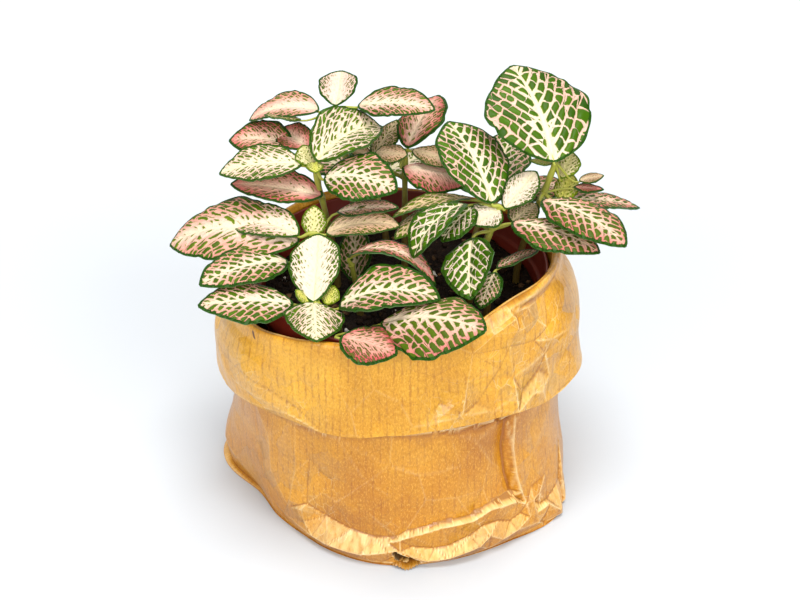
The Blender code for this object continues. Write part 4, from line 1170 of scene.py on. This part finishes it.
def fold_up(along, height, sheet):
    """How far the folded sheet stands out at each place: flat between its creases."""
    points, triangles = sheet
    lift = np.zeros_like(along)
    for triangle in triangles:
        corners = points[list(triangle)]
        (x0, y0, _), (x1, y1, _), (x2, y2, _) = corners
        area = (y1 - y2) * (x0 - x2) + (x2 - x1) * (y0 - y2)
        if abs(area) < 1e-9:
            continue
        box = (along >= min(x0, x1, x2)) & (along <= max(x0, x1, x2))
        box &= (height >= min(y0, y1, y2)) & (height <= max(y0, y1, y2))
        index = np.flatnonzero(box)
        x, y = along[index], height[index]
        first = ((y1 - y2) * (x - x2) + (x2 - x1) * (y - y2)) / area
        second = ((y2 - y0) * (x - x2) + (x0 - x2) * (y - y2)) / area
        third = 1 - first - second
        inside = np.minimum(np.minimum(first, second), third) > -1e-6
        lift[index[inside]] = (np.stack([first, second, third], -1) @ corners[:, 2])[inside]
    return lift


def softened(lift, columns):
    """The lift with its steps a little rounded, so that slanting folds don't show the grid."""
    grid = lift.reshape(-1, columns)
    grid = (np.roll(grid, 1, 1) + np.roll(grid, -1, 1) + 2 * grid) / 4
    padded = np.vstack([grid[:1], grid, grid[-1:]])
    return ((padded[2:] + padded[:-2] + 2 * grid) / 4).ravel()


def bend(lift, place, axis):
    """How much the lift's slope drops at each place along one way of the grid."""
    gap = np.diff(place, axis=axis)
    slope = np.diff(lift, axis=axis) / np.where(np.abs(gap) < 0.1, 1e9, np.abs(gap))
    edge = [(0, 0), (0, 0)]
    edge[axis] = (1, 1)
    return -np.pad(np.diff(slope, axis=axis), edge)


def crispness(lift, along, height, columns):
    """Ridges above 0 and valleys below it, from how the lift bends over the grid of rows and columns."""
    grid, wide, tall = (values.reshape(-1, columns) for values in (lift, along, height))
    return (bend(grid, wide, 1) + bend(grid, tall, 0)).ravel()


def facing_up(lift, height, columns):
    """How much each place faces up, from how the lift drops as the height grows over the grid's rows."""
    grid, tall = (np.pad(values.reshape(-1, columns), ((1, 1), (0, 0)), "edge") for values in (lift, height))
    rise = tall[2:] - tall[:-2]
    return (-(grid[2:] - grid[:-2]) / np.where(np.abs(rise) < 0.3, 1e9, rise)).ravel()


def follow_fold(along, height):
    """Leans the grid's columns along the fold where the side's panel laps over the front's."""
    heights, angles = zip(*sorted((tall, angle) for angle, tall, _ in LAP_FOLD))
    middle = angles[0] * MM_A_DEGREE
    lean = np.interp(height, heights, angles) * MM_A_DEGREE - middle
    fade = 18                # mm
    return along + lean * np.exp(-(((along - middle) / fade) ** 2))


def rows_along(stretches):
    """Ring numbers of the mesh rows of some stretches of the sheet."""
    rows = [stretches[0][0]]
    for start, end, count in stretches:
        rows += [start + (end - start) * i / count for i in range(1, count + 1)]
    return rows


def sheet_lift(run, along, height, body_sheet, cuff_sheet):
    """How far each place of the sheet is folded or crumpled outwards, and how worn it is."""
    body = (run > FOOT - 0.5) & (run < INNER_CREST)
    cuff = run > CREST
    on_body, on_cuff = fold_up(along, height, body_sheet), fold_up(along, height, cuff_sheet)
    fine = fold_up(along, height, triangles_between([], -4, 120, 5.0, 0.3, [], SEED + 2))
    fine = softened(fine, BAG_SIDES + 1)
    wear = np.where(cuff, wear_at(CUFF_WEAR, along, height), wear_at(BODY_WEAR, along, height))
    lift = np.where(body, on_body, np.where(cuff, on_cuff, 0)) + fine * (0.1 + wear) * (cuff | body)
    past_crest = np.clip(np.abs(run - CREST) / 2.0, 0, 1)
    past_foot = np.clip((run - FOOT) / 0.8 + 1, 0, 1)
    return lift * past_crest * past_foot, wear


CUT_TEETH = 9
CUT_FROM, CUT_SPAN = -92.5, 9.5     # degrees round the bag
CUT_RADIUS = 66.0
CUT_HEIGHT = 2.6
CUT_ALONG = 300.0            # along the paper, past the bag's own lengths, so that it has other marks


def make_cut_edge(finish):
    """The saw-toothed end of the paper, which lies out of the mouth of the folded end."""
    bpy.ops.mesh.primitive_grid_add(x_subdivisions=CUT_TEETH * 2, y_subdivisions=5, size=2)
    strip = picked()
    flat = points_of(strip)
    even, across = (flat[:, 0] + 1) / 2, (flat[:, 1] + 1) / 2
    tooth = np.abs((even * CUT_TEETH) % 1 - 0.5) * 2
    angle = np.radians(CUT_FROM + CUT_SPAN * even)
    wide = 2.6 + 0.8 * tooth + 1.4 * np.sin(even * 3.1)
    reach = CUT_RADIUS + across * wide - 1.5 * np.abs(even - 0.45)
    height = CUT_HEIGHT - 1.6 * across ** 1.5 + 0.5 * np.sin(even * 9)
    move_points(strip, np.column_stack([reach * np.cos(angle), reach * np.sin(angle), height]) * MM)
    give_attribute(strip, "sheet", CUT_ALONG + 14 * even, across * 5, across * 1.2 - 0.9)
    # worn, with a little painted shade as from the mouth, and no painted sheen or shade of facets
    give_attribute(strip, "wear", 0.6, 0.3, 0.0)
    apply_modifier(strip, "SOLIDIFY", thickness=PAPER_THICKNESS * MM, offset=0)
    strip.name = "kraft_paper_cut_edge"
    dress(strip, finish)
    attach(strip, "root")


def bag_grid(rows):
    """A flat grid with so many rows and BAG_SIDES, and the angle at which each point stands round the bag."""
    bpy.ops.mesh.primitive_grid_add(x_subdivisions=BAG_SIDES, y_subdivisions=rows - 1, size=2)
    bag = picked()
    even = points_of(bag)[:BAG_SIDES + 1, 0]
    angles = -90 + 180 * ((1 - FRONT_SHARE) * even + FRONT_SHARE * even ** 3)
    angles[1], angles[-2] = angles[0] + SEAM_WIDTH, angles[-1] - SEAM_WIDTH
    return bag, np.tile(angles, rows)


def draw_to_creases(angles, run, cuff_face, body_sheet, cuff_sheet):
    """Moves the places in sight onto the creases nearest them. Returns their angles, runs and creases."""
    _, heights = bag_rings(angles)
    height = between_rings(heights, run)
    climb = (between_rings(heights, run + 0.01) - between_rings(heights, run - 0.01)) / 0.02
    shape = (-1, BAG_SIDES + 1)
    along = (angles * MM_A_DEGREE).reshape(shape)
    aim = height.reshape(shape).copy()
    row, on_cuff_face = run.reshape(shape)[:, 0], cuff_face.reshape(shape)[:, 0]
    body_rows = np.flatnonzero(~on_cuff_face & (row > FOOT) & (row < TUCKED_UNDER_CUFF))
    cuff_rows = np.flatnonzero(on_cuff_face & (row > OUTER_CREST) & (row < HEM))
    creases = np.full(along.shape, -1)
    along[body_rows] = follow_fold(along[body_rows], aim[body_rows])
    for sheet, rows in ((body_sheet, body_rows), (cuff_sheet, cuff_rows)):
        some_along, some_aim = along[rows], aim[rows]
        creases[rows] = set_on_creases(sheet, some_along, some_aim)
        along[rows], aim[rows] = some_along, some_aim
    steep = np.abs(climb) > 1
    step = np.where(steep, (aim.ravel() - height) / np.where(steep, climb, 1), 0)
    return along.ravel() / MM_A_DEGREE, run + step, creases


def shades(run, angles, along, height, lift, wear):
    """Painted crease light: painted highlight on ridges above 0 and painted shade in valleys below it.
    Painted sheen where the paper faces up and painted shade where it faces down, with a painted shadow under
    the hem.
    """
    columns = BAG_SIDES + 1
    creases = crispness(lift, along, height, columns) * (0.6 + wear)
    below_hem = height - around(angles, HEM_HEIGHT)
    painted_sheen_and_shade = np.clip(facing_up(lift, height, columns), -STEEPEST, STEEPEST) * np.clip((run - FOOT) * 6, 0, 1)
    # painted shadow under the hem, taken off the painted sheen
    painted_sheen_and_shade -= np.clip(below_hem / SHADE_BELOW_HEM + 1, 0, 1) * (run < INNER_CREST) * SHADE
    return np.clip(creases, DARKEST_VALLEY, LIGHTEST_RIDGE), painted_sheen_and_shade


def make_bag(finish):
    """One folded sheet with a thickness: a grid laid round the bag's outline, lifted and creased."""
    rows = np.array(rows_along(BODY_FACE) + rows_along(CUFF_FACE))
    bag, angles = bag_grid(len(rows))
    run = np.repeat(rows, BAG_SIDES + 1)
    cuff_face = np.repeat(np.arange(len(rows)) >= len(rows_along(BODY_FACE)), BAG_SIDES + 1)
    body_sheet = triangles_between(BODY_FOLDS, 2, 66, 12, 1.1, BODY_WEAR, SEED)
    cuff_sheet = triangles_between(CUFF_FOLDS, 58, 116, 11, 1.0, CUFF_WEAR, SEED + 1)
    angles, run, creases = draw_to_creases(angles, run, cuff_face, body_sheet, cuff_sheet)
    radii, heights = bag_rings(angles)
    height = between_rings(heights, run)
    along = angles * MM_A_DEGREE
    lift, wear = sheet_lift(run, along, height, body_sheet, cuff_sheet)
    light, painted_sheen_and_shade = shades(run, angles, along, height, lift, wear)
    ahead = np.minimum(run + 0.05, HEM)
    behind = np.maximum(run - 0.05, 0)
    out = between_rings(radii, ahead) - between_rings(radii, behind)
    up = between_rings(heights, ahead) - between_rings(heights, behind)
    thick = cuff_face * PAPER_THICKNESS / np.maximum(np.hypot(out, up), 1e-6)
    room = np.where(cuff_face, np.interp(run, *zip(*ROOM_IN_BODY)), np.interp(run, *zip(*ROOM_IN_CUFF)))
    radius = np.maximum(between_rings(radii, run) + lift - up * thick - room, 0)
    height = height + out * thick
    turn = np.radians(angles)
    move_points(bag, np.column_stack([radius * np.cos(turn), radius * np.sin(turn), height]) * MM)
    # the third number is the painted crease light of ridges and valleys
    give_attribute(bag, "sheet", along, np.where(run > CREST, LAID_OUT - height, height), light)
    # painted shade inside the mouth of the folded end
    corners = np.array([(angle * MM_A_DEGREE, tall, 1.0) for angle, tall in MOUTH])
    mouth_shade_mask = fold_up(along, height, (corners, [(0, 1, 2), (0, 2, 3)])) * (run < INNER_CREST)
    # besides the real wear: the painted shade of the mouth, and the painted sheen and shade of the facets
    give_attribute(bag, "wear", wear, mouth_shade_mask, painted_sheen_and_shade)
    split_along_creases(bag, creases)
    close_seams(bag)
    bag.name = "kraft_paper_bag"
    dress(bag, finish)
    smooth(bag, 9)
    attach(bag, "root")
    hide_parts("paper_bag")


# ---------------------------------------------------------------- pot and soil


def add_ring(height, radius, from_radius):
    """In edit mode, with one round edge selected: draws it on to a new height and radius, in mm."""
    bpy.ops.mesh.extrude_region_move(TRANSFORM_OT_translate={"value": (0, 0, height * MM)})
    share = radius / from_radius
    bpy.ops.transform.resize(value=(share, share, 1), center_override=(0, 0, 0))


def turned(name, profile, sides):
    """A closed wall, drawn up ring by ring from a circle and bridged at the end. Profile: radius, height."""
    start_radius, start_height = profile[0]
    clear_selection()
    bpy.ops.mesh.primitive_circle_add(
        vertices=sides, radius=start_radius * MM, fill_type="NOTHING", location=(0, 0, start_height * MM)
    )
    piece = picked()
    pick(piece)
    bpy.ops.object.transform_apply(location=True, rotation=False, scale=False)
    bpy.ops.object.mode_set(mode="EDIT")
    bpy.ops.mesh.select_mode(type="VERT")
    bpy.ops.mesh.select_all(action="SELECT")
    for (radius, height), (next_radius, next_height) in zip(profile, profile[1:]):
        add_ring(next_height - height, next_radius, radius)
    bpy.ops.mesh.select_mode(type="EDGE")
    bpy.ops.mesh.select_non_manifold(extend=False, use_boundary=True)
    bpy.ops.mesh.bridge_edge_loops()
    bpy.ops.mesh.select_all(action="SELECT")
    bpy.ops.mesh.normals_make_consistent(inside=False)
    bpy.ops.object.mode_set(mode="OBJECT")
    piece.name = name
    return piece


def make_pot(finish):
    low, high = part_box("nursery_pot")
    rim = high.x / MM
    bottom = low.z / MM
    top = high.z / MM
    floor = bottom + 1.5
    pot = turned("terracotta_pot", [
        (8, floor), (36, floor), (37, bottom), (41, bottom), (42, bottom + 1),
        (rim - 2.2, top - 11), (rim - 1.9, top - 10.7), (rim - 0.5, top - 10.4), (rim - 0.2, top - 10),
        (rim, top - 1.1), (rim + 0.1, top - 0.6), (rim - 0.1, top - 0.2), (rim - 0.5, top),
        (rim - 1.0, top - 0.2), (rim - 1.3, top - 0.8), (rim - 1.8, top - 9.6), (rim - 2.2, top - 10.2),
        (rim - 3.3, top - 10.8), (rim - 3.5, top - 11.4), (40.8, floor + 2.4), (40.0, floor + 1.6),
        (8, floor + 1.6),
    ], 128)
    dress(pot, finish)
    smooth(pot, 35)
    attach(pot, "root")
    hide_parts("nursery_pot")


def soil_height(x, y):
    """The soil's uneven top at a point in mm, as the part has it, with crumbly roughness."""
    rough = 0.35 * np.sin(1.1 * x + 0.7 * y) * np.sin(0.9 * y - 0.5 * x)
    rough += 0.25 * np.sin(2.3 * x) * np.sin(2.1 * y)
    return (
        SOIL_TOP
        + 1.2 * np.sin(0.11 * x + 1.0) * np.cos(0.09 * y)
        + 0.7 * np.sin(0.23 * x - 0.17 * y)
        + 1.5 * ((x * x + y * y) / 3000.0) ** 2
        + rough - 0.5
    )


SOIL_SIDES = 144
SOIL_RINGS = 34
SOIL_FOOT_RADIUS = 40.4


def make_soil(finish):
    low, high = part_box("potting_soil")
    wide = high.x
    clear_selection()
    bpy.ops.mesh.primitive_cylinder_add(
        vertices=SOIL_SIDES, radius=wide, depth=SOIL_TOP * MM - low.z,
        location=(0, 0, (SOIL_TOP * MM + low.z) / 2),
    )
    soil = picked()
    pick(soil)
    bpy.ops.object.transform_apply(location=True, rotation=False, scale=False)
    bpy.ops.object.mode_set(mode="EDIT")
    bpy.ops.mesh.select_all(action="DESELECT")
    bpy.ops.object.mode_set(mode="OBJECT")
    for face in soil.data.polygons:
        face.select = face.normal.z > 0.9
    bpy.ops.object.mode_set(mode="EDIT")
    bpy.ops.mesh.select_mode(type="FACE")
    for _ in range(SOIL_RINGS):
        bpy.ops.mesh.inset(thickness=wide / (SOIL_RINGS + 2), use_even_offset=False)
    bpy.ops.object.mode_set(mode="OBJECT")
    points = points_of(soil) / MM
    top = points[:, 2] > SOIL_TOP - 1
    rise = soil_height(points[:, 0], points[:, 1])
    points[:, 2] = np.where(top, rise, points[:, 2])
    foot = points[:, 2] < low.z / MM + 1
    points[foot, :2] *= SOIL_FOOT_RADIUS * MM / wide
    move_points(soil, points * MM)
    soil.name = "peat_soil"
    dress(soil, finish)
    smooth(soil, 50)
    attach(soil, "root")
    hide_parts("potting_soil")


SCATTER_RADIUS = 54.0
DENTS = 0.28                 # depth, as a share of a grain's size


def scatter_grains(name, count, detail, sizes, squash, finish, seed):
    """Rough grains lying on the soil, each a dented copy of one rounded lump. Sizes are in mm."""
    draw = np.random.default_rng(seed)
    clear_selection()
    bpy.ops.mesh.primitive_ico_sphere_add(subdivisions=detail, radius=1)
    lump = picked()
    ball = points_of(lump)
    grains = []
    for _ in range(count):
        grain = lump.copy()
        grain.data = lump.data.copy()
        bpy.context.scene.collection.objects.link(grain)
        dents = 1 + DENTS * np.sin(ball @ draw.uniform(-4, 4, (3, 3))).sum(axis=1) / 1.7
        size = draw.uniform(*sizes)
        shape = ball * dents[:, None] * (size, size * draw.uniform(0.6, 1), size * draw.uniform(*squash))
        turn = draw.uniform(0, 2 * math.pi)
        tip = draw.uniform(-0.5, 0.5)
        spin = np.array(Matrix.Rotation(turn, 3, "Z"))
        lean = np.array(Matrix.Rotation(tip, 3, "X"))
        reach = SCATTER_RADIUS * math.sqrt(draw.random())
        way = draw.uniform(0, 2 * math.pi)
        x, y = reach * math.cos(way), reach * math.sin(way)
        place = np.array((x, y, soil_height(x, y) + size * 0.25))
        move_points(grain, (shape @ lean.T @ spin.T + place) * MM)
        grains.append(grain)
    bpy.data.objects.remove(lump)
    piece = join(name, grains)
    dress(piece, finish)
    smooth(piece, 80)
    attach(piece, "root")


# ---------------------------------------------------------------- stage

CAMERA_RISE = 33.0
CAMERA_DISTANCE = 0.64
CAMERA_LENS = 70.0
AIM_HEIGHT = 0.0845
# The distant lights' turn in degrees, softness in degrees and strength.
LIGHTS = {
    "overhead": ((4, 2, 0), 34, 3.0),
    "back": ((60, 0, 175), 60, 0.6),
    "front": ((55, 0, 0), 40, 0.8),
    "front_left": ((64, 0, -38), 34, 1.05),
    "front_right": ((60, 0, 40), 34, 1.5),
}
WORLD_STRENGTH = 0.24
FLOOR_GREY = rgb(200, 204, 208)


def make_camera():
    camera = bpy.data.cameras.new("camera")
    camera.lens = CAMERA_LENS
    holder = bpy.data.objects.new("camera", camera)
    rise = math.radians(CAMERA_RISE)
    holder.location = (
        0, -CAMERA_DISTANCE * math.cos(rise), AIM_HEIGHT + CAMERA_DISTANCE * math.sin(rise),
    )
    holder.rotation_euler = (math.pi / 2 - rise, 0, 0)
    bpy.context.scene.collection.objects.link(holder)
    bpy.context.scene.camera = holder


def make_light(name, turn, softness, strength):
    """A distant light as wide as softness, in degrees."""
    light = bpy.data.lights.new(name, "SUN")
    light.angle = math.radians(softness)
    light.energy = strength
    holder = bpy.data.objects.new(name, light)
    holder.location = (0, 0, 1)
    holder.rotation_euler = [math.radians(angle) for angle in turn]
    bpy.context.scene.collection.objects.link(holder)


def make_studio():
    clear_selection()
    bpy.ops.mesh.primitive_plane_add(size=8, location=(0, 0, 0))
    floor = picked()
    floor.name = "floor"
    finish = Finish("floor_white", 0.9, 0.1)
    finish.paint(FLOOR_GREY)
    dress(floor, finish.material)
    for name, settings in LIGHTS.items():
        make_light(name, *settings)
    world = bpy.data.worlds.new("studio")
    world.use_nodes = True
    background = world.node_tree.nodes["Background"]
    background.inputs["Color"].default_value = (1, 1, 1, 1)
    background.inputs["Strength"].default_value = WORLD_STRENGTH
    bpy.context.scene.world = world
    bpy.context.scene.view_settings.view_transform = "Standard"


make_camera()
make_studio()
FINISHES = {
    "leaf": (leaf_face_finish(), leaf_underside_finish(), leaf_edge_finish()),
    "stem": stem_finish(),
}
made = 0
for shoot_name, one_shoot in SHOOTS.items():
    made += make_shoot(shoot_name, one_shoot, FINISHES, made)
PAPER_FINISH = paper_finish()
make_bag(PAPER_FINISH)
make_cut_edge(PAPER_FINISH)
make_pot(pot_finish())
make_soil(soil_finish())
scatter_grains("soil_crumbs", 560, 1, (0.6, 2.0), (0.5, 0.9), crumb_finish(), SEED + 10)
scatter_grains("perlite_grains", 26, 2, (0.7, 1.5), (0.7, 1.0), perlite_finish(), SEED + 11)
